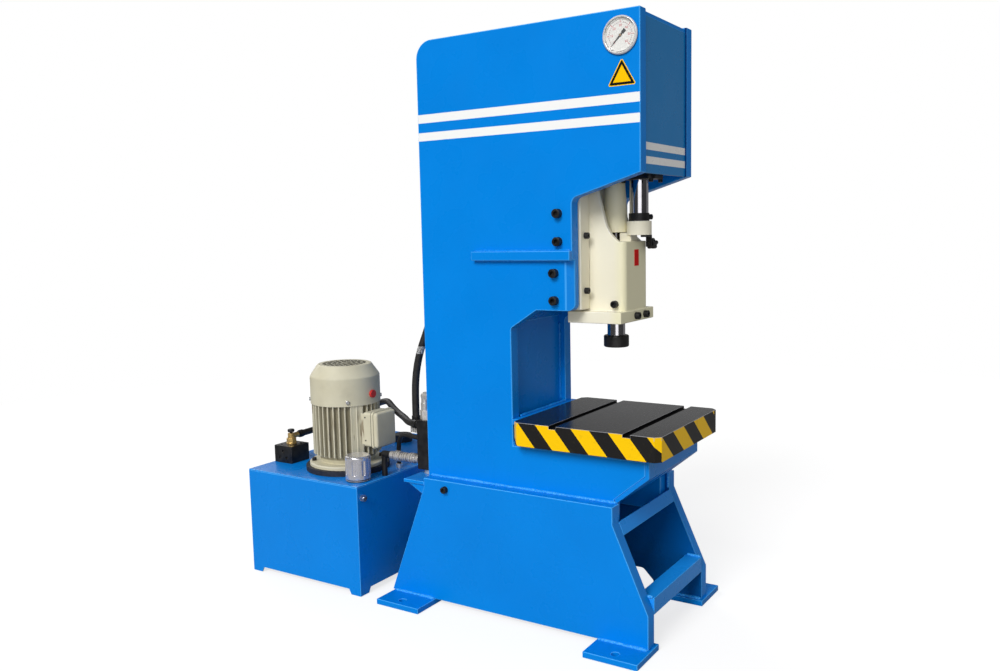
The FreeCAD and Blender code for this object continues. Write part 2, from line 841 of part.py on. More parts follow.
def slide():
    """Cast slide: wings in the guide, box body, two cheeks above the deck and the tool flange."""
    wings = box(-wing_half_width, wing_half_width, wing_front, slide_rear, flange_bottom, slide_head)
    body = plate_z(
        [
            (-slide_half_width, wing_front),
            (-slide_half_width, slide_front, slide_corner_radius),
            (slide_half_width, slide_front, slide_corner_radius),
            (slide_half_width, wing_front),
        ],
        flange_bottom,
        deck_top,
    )
    cheek = plate_x(
        [
            (wing_front, deck_top),
            (wing_front, slide_head),
            (cheek_head, slide_head),
            (cheek_knee, deck_top + cheek_knee_rise, cheek_radius),
            (slide_front + slide_corner_radius, deck_top),
            (slide_front + slide_corner_radius, deck_top - 1),
            (wing_front, deck_top - 1),
        ],
        -slide_half_width,
        -slide_half_width + cheek_thickness,
    )
    flange = box(-flange_half_width, flange_half_width, flange_front, flange_rear, flange_bottom, flange_top)
    casting = wings.fuse([body, cheek, mirrored(cheek), flange]).removeSplitter()
    wing_end = box(-wing_half_width, wing_half_width, flange_rear, slide_rear, flange_bottom, flange_top)
    casting = casting.cut(wing_end)
    casting = casting.cut(bar(shank_radius + fit_gap, (0, ram_axis_y, flange_bottom), (0, 0, 1), shank_seat))
    casting = casting.cut(bar(piston_rod_radius, (0, ram_axis_y, deck_top - piston_seat), (0, 0, 1), piston_seat))
    for start, direction in slide_screw_places():
        casting = casting.cut(bar(slide_screw_radius, start, direction, slide_screw_reach))
    save("press_slide", casting)


def slide_screw_places():
    """Two screws in the front of the flange and one in each side of the body."""
    front = [((x, flange_front, front_screw_z), (0, 1, 0)) for x in front_screw_places]
    sides = [((-side * slide_half_width, side_screw_y, side_screw_z), (side, 0, 0)) for side in (-1, 1)]
    return front + sides


def marker():
    plate = box(-marker_width / 2, marker_width / 2, slide_front - marker_thickness, slide_front,
                marker_top - marker_height, marker_top)
    save("slide_marker", plate)


def tool():
    shank = bar(shank_radius, (0, ram_axis_y, shank_bottom), (0, 0, 1), flange_bottom + shank_seat - shank_bottom)
    bore_depth = punch_bore_depth - (shank_bottom - tool_nut_bottom)
    shank = shank.cut(bar(punch_bore_radius, (0, ram_axis_y, shank_bottom), (0, 0, 1), bore_depth))
    save("tool_shank", shank)
    thread = shank_radius + fit_gap
    nut = turned(
        [
            (punch_bore_radius, tool_nut_bottom),
            (tool_nut_radius - 3, tool_nut_bottom),
            (tool_nut_radius, tool_nut_bottom + 3),
            (tool_nut_radius, tool_nut_top - 3),
            (tool_nut_radius - 3, tool_nut_top),
            (thread, tool_nut_top),
            (thread, shank_bottom),
            (punch_bore_radius, shank_bottom),
        ],
        0,
        ram_axis_y,
    )
    save("tool_nut", nut)


# ---- cylinder, guide rod and arm --------------------------------------------------------------
def cylinder():
    inner_floor = barrel_bottom + barrel_foot_height + 20
    bore = piston_rod_radius + fit_gap
    taper_top = barrel_bottom + barrel_foot_height + barrel_taper
    barrel = turned(
        [
            (bore, barrel_bottom),
            (barrel_foot_radius, barrel_bottom),
            (barrel_foot_radius, barrel_bottom + barrel_foot_height),
            (barrel_radius, taper_top),
            (barrel_radius, barrel_top),
            (0, barrel_top),
            (0, barrel_top - barrel_cap),
            (barrel_bore, barrel_top - barrel_cap),
            (barrel_bore, inner_floor),
            (bore, inner_floor),
        ],
        0,
        ram_axis_y,
    )
    seat = box(-barrel_flange_half, barrel_flange_half, barrel_flange_front, barrel_flange_rear,
               belly_top, belly_top + barrel_flange)
    seat = seat.cut(bar(barrel_radius, (0, ram_axis_y, belly_top), (0, 0, 1), barrel_flange))
    save("main_cylinder", barrel.fuse(seat).removeSplitter())

    piston_bottom = inner_floor + slide_stroke + 10
    rod = bar(piston_rod_radius, (0, ram_axis_y, deck_top - piston_seat), (0, 0, 1),
              piston_bottom - deck_top + piston_seat)
    piston = bar(barrel_bore - fit_gap, (0, ram_axis_y, piston_bottom), (0, 0, 1), piston_height)
    save("piston_rod", rod.fuse(piston))


def bush_bolt_places():
    return [(side * bush_bolt_x, y) for side in (-1, 1) for y in bush_bolt_rows]


def guide_rod():
    rod_top = bush_top + slide_stroke + guide_rod_spare
    rod = bar(guide_rod_radius, (0, guide_rod_y, ring_bottom), (0, 0, 1), rod_top - ring_bottom - 4)
    tip = Part.makeCone(guide_rod_radius, guide_rod_radius - 4, 4, V(0, guide_rod_y, rod_top - 4))
    save("guide_rod", rod.fuse(tip))

    flange = plate_z(
        [
            (-bush_flange_half, bush_flange_front, 24),
            (bush_flange_half, bush_flange_front, 24),
            (bush_flange_half, bush_flange_rear, 12),
            (-bush_flange_half, bush_flange_rear, 12),
        ],
        bush_bottom,
        belly_bottom,
    )
    sleeve = bar(bush_sleeve_radius, (0, guide_rod_y, belly_bottom), (0, 0, 1), bush_top - belly_bottom)
    bush = flange.fuse(sleeve)
    bush = bush.cut(bar(guide_rod_radius + bush_gap, (0, guide_rod_y, bush_bottom), (0, 0, 1),
                        bush_top - bush_bottom))
    for x, y in bush_bolt_places():
        bush = bush.cut(bar(bush_bolt_radius, (x, y, bush_bottom), (0, 0, 1), bush_flange))
    save("rod_bush", bush)


def arm():
    """Ring that holds the foot of the guide rod, with its arm on the deck and a clamp lug."""
    ring = bar(ring_radius, (0, guide_rod_y, ring_bottom), (0, 0, 1), ring_height)
    tongue = box(-arm_half_width, arm_half_width, guide_rod_y, arm_rear, ring_bottom, ring_bottom + arm_thickness)
    pad = box(-arm_half_width, arm_half_width, slide_front + 8, arm_rear, deck_top, ring_bottom)
    strap_bottom = ring_bottom - strap_thickness
    lug = box(lug_inner, lug_outer, knob_y - lug_half_depth, knob_y + lug_half_depth,
              knob_z - lug_below_knob, ring_bottom)
    strap = box(0, lug_outer, knob_y - lug_half_depth, knob_y + lug_half_depth, strap_bottom, ring_bottom)
    shape = ring.fuse([tongue, pad, lug, strap]).removeSplitter()
    hold = bar(guide_rod_radius, (0, guide_rod_y, ring_bottom), (0, 0, 1), ring_height)
    shape = shape.cut(hold)
    shape = shape.cut(bar(knob_stem_radius + fit_gap, (lug_inner, knob_y, knob_z), (1, 0, 0), lug_outer - lug_inner))
    save("stroke_arm", shape)

    collar = pipe(collar_radius, guide_rod_radius, (0, guide_rod_y, ring_top), (0, 0, 1), collar_height)
    screw_seat = (collar_radius - 2, guide_rod_y - 8, ring_top + collar_height / 2)
    collar = collar.fuse(bar(6, screw_seat, (1, 0, 0), 12))
    save("rod_collar", collar)


def knob():
    """Five-lobed clamp knob on a threaded stem along X."""
    lobes = 5
    stem_start = lug_inner
    knob_start = lug_outer + knob_stem
    hub = bar(knob_radius * 0.72, (knob_start, knob_y, knob_z), (1, 0, 0), knob_width)
    shape = hub
    for i in range(lobes):
        u, w = polar(knob_radius * 0.66, 360 / lobes * i + 90)
        shape = shape.fuse(bar(knob_radius * 0.4, (knob_start + 3, knob_y + u, knob_z + w), (1, 0, 0), knob_width - 6))
    stem = bar(knob_stem_radius, (stem_start, knob_y, knob_z), (1, 0, 0), knob_start - stem_start)
    save("clamp_knob", shape.fuse(stem).removeSplitter())


# ---- gauge ------------------------------------------------------------------------------------
def gauge():
    """Panel gauge let into the left side plate: case, dial, pointer and glass."""
    face_x = -half_width
    bezel_x = face_x - bezel_depth
    glass_x = bezel_x + 3
    ledge_x = glass_x + glass_thickness
    inner = gauge_case_radius - gauge_case_wall
    back_x = face_x + gauge_case_length
    dial_x = face_x - 1.0
    post_x = dial_x + dial_thickness
    case = turned_x(
        [
            (bezel_x, glass_radius),
            (bezel_x, bezel_radius - 3),
            (bezel_x + 3, bezel_radius),
            (face_x, bezel_radius),
            (face_x, gauge_case_radius),
            (back_x, gauge_case_radius),
            (back_x, pointer_pin_radius + fit_gap),
            (post_x, pointer_pin_radius + fit_gap),
            (post_x, 12),
            (back_x - gauge_case_wall, 12),
            (back_x - gauge_case_wall, inner),
            (ledge_x, inner),
            (ledge_x, glass_radius),
        ],
        gauge_y,
        gauge_z,
    )
    save("gauge_case", case)
    dial = pipe(inner, pointer_pin_radius + fit_gap, (dial_x, gauge_y, gauge_z), (1, 0, 0), dial_thickness)
    save("gauge_dial", dial)
    glass = bar(glass_radius, (glass_x, gauge_y, gauge_z), (1, 0, 0), glass_thickness)
    save("gauge_glass", glass)

    pointer_x = dial_x - 1.2
    needle = face(
        [
            (-pointer_tail, -2.2),
            (0, -3.0),
            (pointer_length, -0.6),
            (pointer_length, 0.6),
            (0, 3.0),
            (-pointer_tail, 2.2),
        ]
    )
    needle.Placement = FreeCAD.Placement(V(pointer_x, gauge_y, gauge_z), FreeCAD.Rotation(V(1, 1, 1), 120))
    needle.rotate(V(pointer_x, gauge_y, gauge_z), V(1, 0, 0), pointer_angle)
    needle = needle.extrude(V(0.8, 0, 0))
    hub = bar(4.5, (pointer_x - 0.4, gauge_y, gauge_z), (1, 0, 0), 1.2)
    pin = bar(pointer_pin_radius, (pointer_x, gauge_y, gauge_z), (1, 0, 0), gauge_case_length / 2)
    save("gauge_pointer", needle.fuse([hub, pin]).removeSplitter())


# ---- oil tank ---------------------------------------------------------------------------------
def tank():
    """Folded tank: four walls on corner feet, a floor above the ground and a bolted lid."""
    body = box(tank_left, tank_right, tank_front, tank_rear, 0, lid_bottom)
    body = body.cut(box(tank_left + tank_wall, tank_right - tank_wall, tank_front + tank_wall,
                        tank_rear - tank_wall, tank_floor + tank_wall, lid_bottom))
    body = body.cut(box(tank_left + tank_wall, tank_right - tank_wall, tank_front + tank_wall,
                        tank_rear - tank_wall, 0, tank_floor))
    along_y = [
        (tank_front + tank_foot, 0),
        (tank_front + tank_foot + tank_floor / 2, tank_floor),
        (tank_rear - tank_foot - tank_floor / 2, tank_floor),
        (tank_rear - tank_foot, 0),
    ]
    along_x = [
        (tank_left + tank_foot, 0),
        (tank_left + tank_foot + tank_floor / 2, tank_floor),
        (tank_right - tank_foot - tank_floor / 2, tank_floor),
        (tank_right - tank_foot, 0),
    ]
    body = body.cut(plate_x(along_y, tank_left, tank_right))
    body = body.cut(plate_y(along_x, tank_front, tank_rear))
    body = body.cut(bar(plug_radius, (plug_x, tank_front, plug_z), (0, 1, 0), tank_wall))
    save("oil_tank", body)

    lid = box(tank_left, tank_right, tank_front, tank_rear, lid_bottom, tank_height)
    for x, y, radius in (
        (motor_x, motor_y, bell_radius),
        (breather_x, breather_y, breather_basket_radius),
        (filter_x, filter_y, filter_radius - filter_shoulder),
        (union_x, pressure_stub_y, pressure_stub_radius - 5),
        (return_port[0], return_port[1], return_hose_radius),
    ):
        lid = lid.cut(bar(radius, (x, y, lid_bottom), (0, 0, 1), lid_thickness))
    for x, y in flange_bolt_places():
        lid = lid.cut(bar(flange_bolt_radius, (x, y, lid_bottom), (0, 0, 1), lid_thickness))
    save("tank_lid", lid)


# ---- motor pump -------------------------------------------------------------------------------
def flange_bolt_places():
    places = []
    for i in range(4):
        u, w = polar(bolt_circle_radius, 45 + 90 * i)
        places.append((motor_x + u, motor_y + w))
    return places


def finned_section():
    """Cross-section of the finned frame: straight fins that stand on the root circle."""
    corners = []
    half_root = math.degrees(fin_thickness / 2 / fin_root_radius)
    half_tip = math.degrees(fin_thickness / 2 / fin_tip_radius)
    for i in range(fin_count):
        angle = 360 / fin_count * i
        for radius, degrees in (
            (fin_root_radius, angle - half_root),
            (fin_tip_radius, angle - half_tip),
            (fin_tip_radius, angle + half_tip),
            (fin_root_radius, angle + half_root),
        ):
            u, w = polar(radius, degrees)
            corners.append((motor_x + u, motor_y + w))
    return corners


def motor():
    spigot = cowl_radius - cowl_wall
    core = turned(
        [
            (motor_shaft_radius + 1, flange_ring_bottom),
            (flange_ring_radius, flange_ring_bottom),
            (flange_ring_radius, flange_ring_top - 3),
            (flange_ring_radius - 3, flange_ring_top),
            (neck_radius, flange_ring_top),
            (fin_root_radius, fin_bottom),
            (fin_root_radius, spigot_bottom),
            (spigot, spigot_bottom),
            (spigot, fin_top),
            (motor_shaft_radius + 1, fin_top),
        ],
        motor_x,
        motor_y,
    )
    fins = plate_z(finned_section(), fin_bottom, spigot_bottom)
    pad = box(motor_x - pad_half_width, motor_x + pad_half_width, pad_front, motor_y - neck_radius,
              pad_bottom, pad_top)
    u, w = polar(1, 240)
    band = plate_z([(-22, 0), (22, 0), (22, 22), (-22, 22)], fin_bottom, spigot_bottom)
    band.rotate(V(0, 0, 0), V(0, 0, 1), 240 - 90)
    band.translate(V(motor_x + u * (fin_root_radius - 8), motor_y + w * (fin_root_radius - 8), 0))
    frame = core.fuse([fins, pad, band]).removeSplitter()

    lower_seat = flange_ring_bottom
    upper_seat = fin_top - bearing_width
    cavity_bottom = flange_ring_top + 20
    cavity_top = fin_top - 30
    cavity = turned(
        [
            (0, lower_seat),
            (bearing_radius, lower_seat),
            (bearing_radius, lower_seat + bearing_width),
            (motor_shaft_radius + 3, lower_seat + bearing_width),
            (motor_shaft_radius + 3, cavity_bottom),
            (rotor_radius + stator_gap, cavity_bottom),
            (rotor_radius + stator_gap, cavity_top),
            (motor_shaft_radius + 3, cavity_top),
            (motor_shaft_radius + 3, upper_seat),
            (bearing_radius, upper_seat),
            (bearing_radius, fin_top),
            (0, fin_top),
        ],
        motor_x,
        motor_y,
    )
    frame = frame.cut(cavity)
    for x, y in flange_bolt_places():
        frame = frame.cut(bar(flange_bolt_radius, (x, y, flange_ring_bottom), (0, 0, 1), flange_ring_thickness))
    save("motor_frame", frame)

    race = motor_shaft_radius + fit_gap
    save(
        "motor_bearings",
        pipe(bearing_radius, race, (motor_x, motor_y, lower_seat), (0, 0, 1), bearing_width),
        pipe(bearing_radius, race, (motor_x, motor_y, upper_seat), (0, 0, 1), bearing_width),
    )

    ring = pipe(seal_ring_radius, seal_ring_inner, (motor_x, motor_y, tank_height), (0, 0, 1), seal_ring_thickness)
    for x, y in flange_bolt_places():
        ring = ring.cut(bar(flange_bolt_radius, (x, y, tank_height), (0, 0, 1), seal_ring_thickness))
    save("motor_seal_ring", ring)

    shaft = turned(
        [
            (0, bell_bottom - 20),
            (pump_shaft_radius, bell_bottom - 20),
            (pump_shaft_radius, coupling_bottom),
            (coupling_radius, coupling_bottom),
            (coupling_radius, coupling_top),
            (motor_shaft_radius, coupling_top),
            (motor_shaft_radius, cavity_bottom + 4),
            (rotor_radius, cavity_bottom + 4),
            (rotor_radius, cavity_top - 4),
            (motor_shaft_radius, cavity_top - 4),
            (motor_shaft_radius, fan_bottom + fan_height),
            (0, fan_bottom + fan_height),
        ],
        motor_x,
        motor_y,
    )
    save("motor_shaft", shaft)


def arc_slot(inner, outer, start, end):
    """Slot of a ring between two angles, for the grille of the cowl."""
    middle = (start + end) / 2
    a0, a1, a2 = (V(*polar(inner, d), 0) for d in (start, middle, end))
    b0, b1, b2 = (V(*polar(outer, d), 0) for d in (end, middle, start))
    edges = [
        Part.Arc(a0, a1, a2).toShape(),
        Part.LineSegment(a2, b0).toShape(),
        Part.Arc(b0, b1, b2).toShape(),
        Part.LineSegment(b2, a0).toShape(),
    ]
    return Part.Face(Part.Wire(edges))


def fan_cowl():
    lower = spigot_bottom
    inner_shoulder = cowl_shoulder - 1
    cowl = turned(
        [
            (cowl_radius - cowl_wall, lower),
            (cowl_radius, lower),
            (cowl_radius, cowl_shoulder, 12),
            (cowl_top_radius, cowl_top, 8),
            (0, cowl_top),
            (0, cowl_top - cowl_wall),
            (cowl_top_radius - 1, cowl_top - cowl_wall),
            (cowl_radius - cowl_wall, inner_shoulder),
        ],
        motor_x,
        motor_y,
    )
    for (inner, outer), count in zip(grille_rings, grille_counts):
        half_rib = math.degrees(grille_rib / 2 / inner)
        for i in range(count):
            start = 360 / count * i + half_rib
            slot = arc_slot(inner, outer, start, start + 360 / count - 2 * half_rib)
            slot.translate(V(motor_x, motor_y, cowl_top - 2 * cowl_wall))
            cowl = cowl.cut(slot.extrude(V(0, 0, 3 * cowl_wall)))
    for (x, y), (u, w) in cowl_screw_places():
        cowl = cowl.cut(bar(cowl_screw_radius, (x + u * 5, y + w * 5, cowl_screw_z), (-u, -w, 0), 12))
    plug_face = motor_y - cowl_radius
    stem = bar(red_plug_radius - 4, (motor_x, plug_face - 2, red_plug_z), (0, 1, 0), 4 * cowl_wall)
    save("fan_cowl", cowl.cut(stem))

    sink = cowl_radius - math.sqrt(cowl_radius ** 2 - red_plug_radius ** 2)
    head = bar(red_plug_radius, (motor_x, plug_face - red_plug_reach, red_plug_z), (0, 1, 0), red_plug_reach + sink)
    inside = bar(cowl_radius, (motor_x, motor_y, red_plug_z - 2 * red_plug_radius), (0, 0, 1), 4 * red_plug_radius)
    save("red_plug", head.cut(inside).fuse(stem).removeSplitter())

    hub = pipe(fan_hub_radius, motor_shaft_radius, (motor_x, motor_y, fan_bottom), (0, 0, 1), fan_height)
    disc = pipe(fan_radius - 8, motor_shaft_radius, (motor_x, motor_y, fan_bottom), (0, 0, 1), 4)
    fan = hub.fuse(disc)
    for i in range(fan_blades):
        blade = box(fan_hub_radius - 3, fan_radius, -fan_blade / 2, fan_blade / 2, fan_bottom, fan_bottom + fan_height)
        blade.rotate(V(0, 0, 0), V(0, 0, 1), 360 / fan_blades * i)
        blade.translate(V(motor_x, motor_y, 0))
        fan = fan.fuse(blade)
    save("cooling_fan", fan.removeSplitter())


def cowl_screw_places():
    """Foot of each cowl screw on the cowl, with its outward direction."""
    places = []
    for i in range(4):
        u, w = polar(1, 45 + 90 * i)
        places.append(((motor_x + u * cowl_radius, motor_y + w * cowl_radius), (u, w)))
    return places


def terminal_box():
    half = pad_half_width + box_margin
    base_body = plate_y(
        [
            (motor_x - half, pad_bottom - box_margin, 10),
            (motor_x + half, pad_bottom - box_margin, 10),
            (motor_x + half, pad_top + box_margin, 10),
            (motor_x - half, pad_top + box_margin, 10),
        ],
        pad_front - box_depth,
        pad_front,
    )
    hollow = box(motor_x - half + 4, motor_x + half - 4, pad_front - box_depth, pad_front - 4,
                 pad_bottom - box_margin + 4, pad_top + box_margin - 4)
    save("terminal_box", base_body.cut(hollow))
    half = pad_half_width + lid_margin
    front = terminal_front
    lid = plate_y(
        [
            (motor_x - half, pad_bottom - lid_margin, 18),
            (motor_x + half, pad_bottom - lid_margin, 18),
            (motor_x + half, pad_top + lid_margin, 18),
            (motor_x - half, pad_top + lid_margin, 18),
        ],
        front,
        pad_front - box_depth,
    )
    rim = [edge for edge in lid.Edges if abs(edge.CenterOfMass.y - front) < 0.01]
    lid = lid.makeFillet(9, rim)
    save("terminal_lid", lid)


def pump():
    """Gear pump that hangs in the tank from a bell under the motor flange."""
    bell = turned(
        [
            (bell_radius - bell_wall, bell_bottom + bell_wall),
            (bell_radius - bell_wall, flange_ring_bottom),
            (seal_ring_inner, flange_ring_bottom),
            (seal_ring_inner, tank_height),
            (bell_radius, tank_height),
            (bell_radius, bell_bottom),
            (pump_shaft_radius + fit_gap, bell_bottom),
            (pump_shaft_radius + fit_gap, bell_bottom + bell_wall),
        ],
        motor_x,
        motor_y,
    )
    block = plate_z(
        [
            (motor_x - pump_half_width, motor_y - pump_half_width, 8),
            (motor_x + pump_half_width, motor_y - pump_half_width, 8),
            (motor_x + pump_half_width, motor_y + pump_half_width, 8),
            (motor_x - pump_half_width, motor_y + pump_half_width, 8),
        ],
        pump_bottom,
        bell_bottom,
    )
    block = block.cut(bar(pump_shaft_radius + fit_gap, (motor_x, motor_y, bell_bottom - 24), (0, 0, 1), 24))
    save("gear_pump", bell.fuse(block).removeSplitter())
    pipe_down = bar(suction_pipe_radius, (motor_x, motor_y, strainer_top), (0, 0, 1), pump_bottom - strainer_top)
    screen = bar(strainer_radius, (motor_x, motor_y, strainer_bottom), (0, 0, 1), strainer_top - strainer_bottom)
    save("suction_strainer", screen.fuse(pipe_down))


# ---- fittings on the tank ---------------------------------------------------------------------
def breather():
    base_body = turned(
        [
            (0, breather_basket_bottom),
            (breather_basket_radius, breather_basket_bottom),
            (breather_basket_radius, tank_height),
            (breather_flange_radius, tank_height),
            (breather_flange_radius, tank_height + breather_flange),
            (breather_neck_radius, tank_height + breather_flange),
            (breather_neck_radius, breather_neck_top),
            (0, breather_neck_top),
        ],
        breather_x,
        breather_y,
    )
    save("breather_base", base_body)
    cap = turned(
        [
            (breather_neck_radius + 6, breather_skirt),
            (breather_cap_radius, breather_skirt),
            (breather_cap_radius, breather_cap_top, 9),
            (0, breather_cap_top),
            (0, breather_neck_top),
            (breather_neck_radius + 6, breather_neck_top),
        ],
        breather_x,
        breather_y,
    )
    flute_bottom = (breather_skirt + breather_cap_top - breather_flute_height) / 2
    for i in range(breather_flutes):
        u, w = polar(breather_cap_radius + breather_flute_radius / 2, 360 / breather_flutes * (i + 0.5))
        flute = bar(breather_flute_radius, (breather_x + u, breather_y + w, flute_bottom), (0, 0, 1),
                    breather_flute_height)
        cap = cap.cut(flute)
    save("breather_cap", cap)

    filter_cap = turned(
        [
            (0, lid_bottom - filter_depth),
            (filter_radius - filter_shoulder, lid_bottom - filter_depth),
            (filter_radius - filter_shoulder, tank_height),
            (filter_radius, tank_height),
            (filter_radius, tank_height + filter_height, 6),
            (0, tank_height + filter_height),
        ],
        filter_x,
        filter_y,
    )
    save("return_filter", filter_cap)


def relief_valve():
    x0 = valve_x - valve_width / 2
    y0 = valve_y - valve_depth / 2
    block = box(x0, x0 + valve_width, y0, y0 + valve_depth, tank_height, valve_top)
    for u in (valve_screw_inset, valve_width - valve_screw_inset):
        for w in (valve_screw_inset, valve_depth - valve_screw_inset):
            block = block.cut(bar(valve_screw_radius, (x0 + u, y0 + w, valve_top - 8), (0, 0, 1), 8))
    for w, z in valve_ports:
        block = block.cut(bar(valve_port_radius, (x0, y0 + w, tank_height + z), (1, 0, 0), 6))
    save("valve_block", block)

    foot = bar(valve_base_radius, (valve_x, valve_y, valve_top), (0, 0, 1), valve_base_height)
    body = hexagon(valve_x, valve_y, valve_hex, valve_top + valve_base_height, valve_hex_top)
    neck = bar(valve_neck_radius, (valve_x, valve_y, valve_hex_top), (0, 0, 1), valve_neck_height)
    outlet = bar(relief_hose_radius - 2, (valve_x, valve_y, outlet_z), (1, 0, 0), outlet_reach)
    body = body.fuse([foot, neck, outlet]).removeSplitter()
    neck_top = valve_hex_top + valve_neck_height
    body = body.cut(bar(relief_stem_radius + fit_gap, (valve_x, valve_y, neck_top - 18), (0, 0, 1), 18))
    save("relief_fitting", body)
    knob_bottom = neck_top + relief_stem
    stem = bar(relief_stem_radius, (valve_x, valve_y, neck_top - 17), (0, 0, 1), knob_bottom - neck_top + 17)
    grip = turned(
        [
            (0, knob_bottom),
            (relief_knob_radius - 2, knob_bottom),
            (relief_knob_radius, knob_bottom + 3),
            (relief_knob_radius, knob_bottom + relief_knob_height, 3),
            (0, knob_bottom + relief_knob_height),
        ],
        valve_x,
        valve_y,
    )
    save("relief_knob", grip.fuse(stem))


# ---- manifold on the column -------------------------------------------------------------------
def manifold():
    shelf = plate_z(
        [
            (-base_half, base_rear_top),
            (-half_width, base_rear_top),
            (-half_width, column_rear),
            (-inner_half, column_rear),
            (-inner_half, rear_face),
            (shelf_right, rear_face),
            (shelf_right, shelf_rear),
            (-base_half, shelf_rear),
        ],
        shelf_top - shelf_thickness,
        shelf_top,
    )
    low = shelf_top - shelf_thickness
    slope = (base_rear_foot - base_rear_top) / (base_rear_shoulder - foot_thickness)
    drop = low - shelf_gusset
    gusset = plate_x(
        [
            (base_rear_top, low),
            (base_rear_top, base_rear_shoulder),
            (base_rear_top + (base_rear_shoulder - drop) * slope, drop),
            (shelf_rear - 12, low),
        ],
        -base_half + 8,
        -base_half + 20,
    )
    save("manifold_shelf", shelf.fuse(gusset).removeSplitter())

    block = box(manifold_left, manifold_right, manifold_front, manifold_rear, manifold_bottom, manifold_top)
    chamfered = [e for e in block.Edges if abs(e.Length - (manifold_top - manifold_bottom)) < 0.01]
    block = block.makeChamfer(3, chamfered)
    save("manifold_block", block)

    post = bar(post_radius, (manifold_left + 26, (manifold_front + manifold_rear) / 2, shelf_top), (0, 0, 1),
               manifold_bottom - shelf_top)
    nut_top = manifold_top + top_nut_height
    nut = hexagon(top_port_x, top_port_y, top_nut_radius * 1.7, manifold_top, manifold_top + top_nut_height * 0.55)
    upper = bar(elbow_radius, (top_port_x, top_port_y, manifold_top), (0, 0, 1), top_nut_height)
    rise = bar(elbow_radius - 2, (top_port_x, top_port_y, nut_top), (0, 0, 1), elbow_z - nut_top)
    bend = Part.makeSphere(elbow_radius, V(top_port_x, top_port_y, elbow_z))
    leg = bar(elbow_radius, (top_port_x, top_port_y, elbow_z), (0, -1, 0), top_port_y - rear_face)
    elbow = nut.fuse([upper, rise, bend, leg]).removeSplitter()

    lines = [
        (union_radius, 0, union_length),
        (union_radius + 4, 18, 26),
        (union_radius + 2, 56, 22),
        (union_radius + 5, 88, 24),
    ]
    union = bar(union_radius, (union_x, manifold_rear, union_z), (0, 1, 0), union_length)
    for radius, start, length in lines[1:]:
        union = union.fuse(bar(radius, (union_x, manifold_rear + start, union_z), (0, 1, 0), length))
    union = union.removeSplitter()

    save("manifold_fittings", post, elbow, union, *line_adapters())


def pressure_elbow():
    """Black elbow that brings the pressure line up through the tank lid."""
    union_end = manifold_rear + union_length
    elbow_half = pressure_stub_radius + 2
    stub = bar(pressure_stub_radius, (union_x, pressure_stub_y, tank_height), (0, 0, 1), union_z - tank_height)
    cross = bar(elbow_half, (union_x, union_end, union_z), (0, 1, 0), pressure_stub_y - union_end)
    knee = Part.makeSphere(elbow_half, V(union_x, pressure_stub_y, union_z))
    return stub.fuse([cross, knee]).removeSplitter()


def line_adapters():
    """Small blocks and elbows that the hoses screw into."""
    x, y, z = lift_points[0]
    foot = z - ferrule_length
    banjo = box(x - lift_hose_radius - 2, x + lift_hose_radius + 2, manifold_rear, y + lift_hose_radius + 2,
                foot - 34, foot)
    x, y, z = lift_points[-1]
    knee = bar(lift_hose_radius + 2, (x, y, z + ferrule_length), (0, 0, 1), 34)
    leg = bar(elbow_radius - 2, (x, y, z + ferrule_length + 17), (0, -1, 0), y - rear_face)
    x, y, z = return_points[0]
    riser = bar(return_hose_radius + 3, (x, y, tank_height), (0, 0, 1), z - ferrule_length - tank_height)
    return [banjo, knee.fuse(leg).removeSplitter(), riser]


# ---- hoses ------------------------------------------------------------------------------------
# Each route is a list of points chosen by hand. The hose runs straight between them, with one arc
# at each inner point that is as large as its two runs allow.
lift_points = [
    (-112, 504, 654),
    (-112, 504, 716),
    (-112, 502, 780),
    (-111, 493, 842),
    (-109, 477, 902),
    (-105, 455, 958),
    (-102, 433, 1014),
    (-100, 415, 1072),
    (-100, 415, 1132),
]
relief_points = [
    (-96, 1122, 521),
    (-44, 1122, 521),
    (8, 1118, 526),
    (56, 1100, 537),
    (92, 1066, 552),
    (114, 1020, 571),
    (120, 968, 593),
    (114, 914, 616),
    (98, 862, 637),
    (74, 812, 653),
    (42, 766, 661),
    (10, 720, 659),
    (-18, 672, 652),
    (-48, 626, 644),
    (-84, 590, 638),
    (-122, 556, 635),
    (-144, 522, 634),
    (-156, 480, 634),
]
return_points = [
    (-44, 650, 464),
    (-44, 650, 492),
    (-50, 642, 522),
    (-64, 622, 548),
    (-84, 594, 565),
    (-104, 562, 573),
    (-122, 526, 575),
    (-130, 480, 575),
]


def between_ports(points, start_z, end_z):
    """Route with its heights shifted so that it runs from one port height to the other."""
    first = start_z - points[0][2]
    last = end_z - points[-1][2]
    count = len(points) - 1
    return [(x, y, z + first + (last - first) * i / count) for i, (x, y, z) in enumerate(points)]


relief_points = between_ports(relief_points, outlet_z, manifold_top - relief_port_drop)
return_points = between_ports(return_points, tank_height + return_riser, manifold_bottom + return_port_rise)
lift_port = lift_points[-1][:2] + (lift_points[-1][2] + ferrule_length + 17,)
return_port = return_points[0]


def route(points):
    """Wire of straight runs joined by tangent arcs, with the radius of each arc."""
    corners = [V(*p) for p in points]
    edges = []
    radii = []
    last = corners[0]
    for before, corner, after in zip(corners, corners[1:], corners[2:]):
        back = before - corner
        forth = after - corner
        turn = math.pi - back.getAngle(forth)
        reach = 0.45 * min(back.Length, forth.Length)
        radius = reach / math.tan(turn / 2)
        start = corner + back.normalize() * reach
        end = corner + forth.normalize() * reach
        inward = (back + forth).normalize()
        centre_reach = math.hypot(radius, reach)
        middle = corner + inward * (centre_reach - radius)
        edges.append(Part.LineSegment(last, start).toShape())
        edges.append(Part.Arc(start, middle, end).toShape())
        radii.append(radius)
        last = end
    edges.append(Part.LineSegment(last, corners[-1]).toShape())
    return Part.Wire(edges), radii


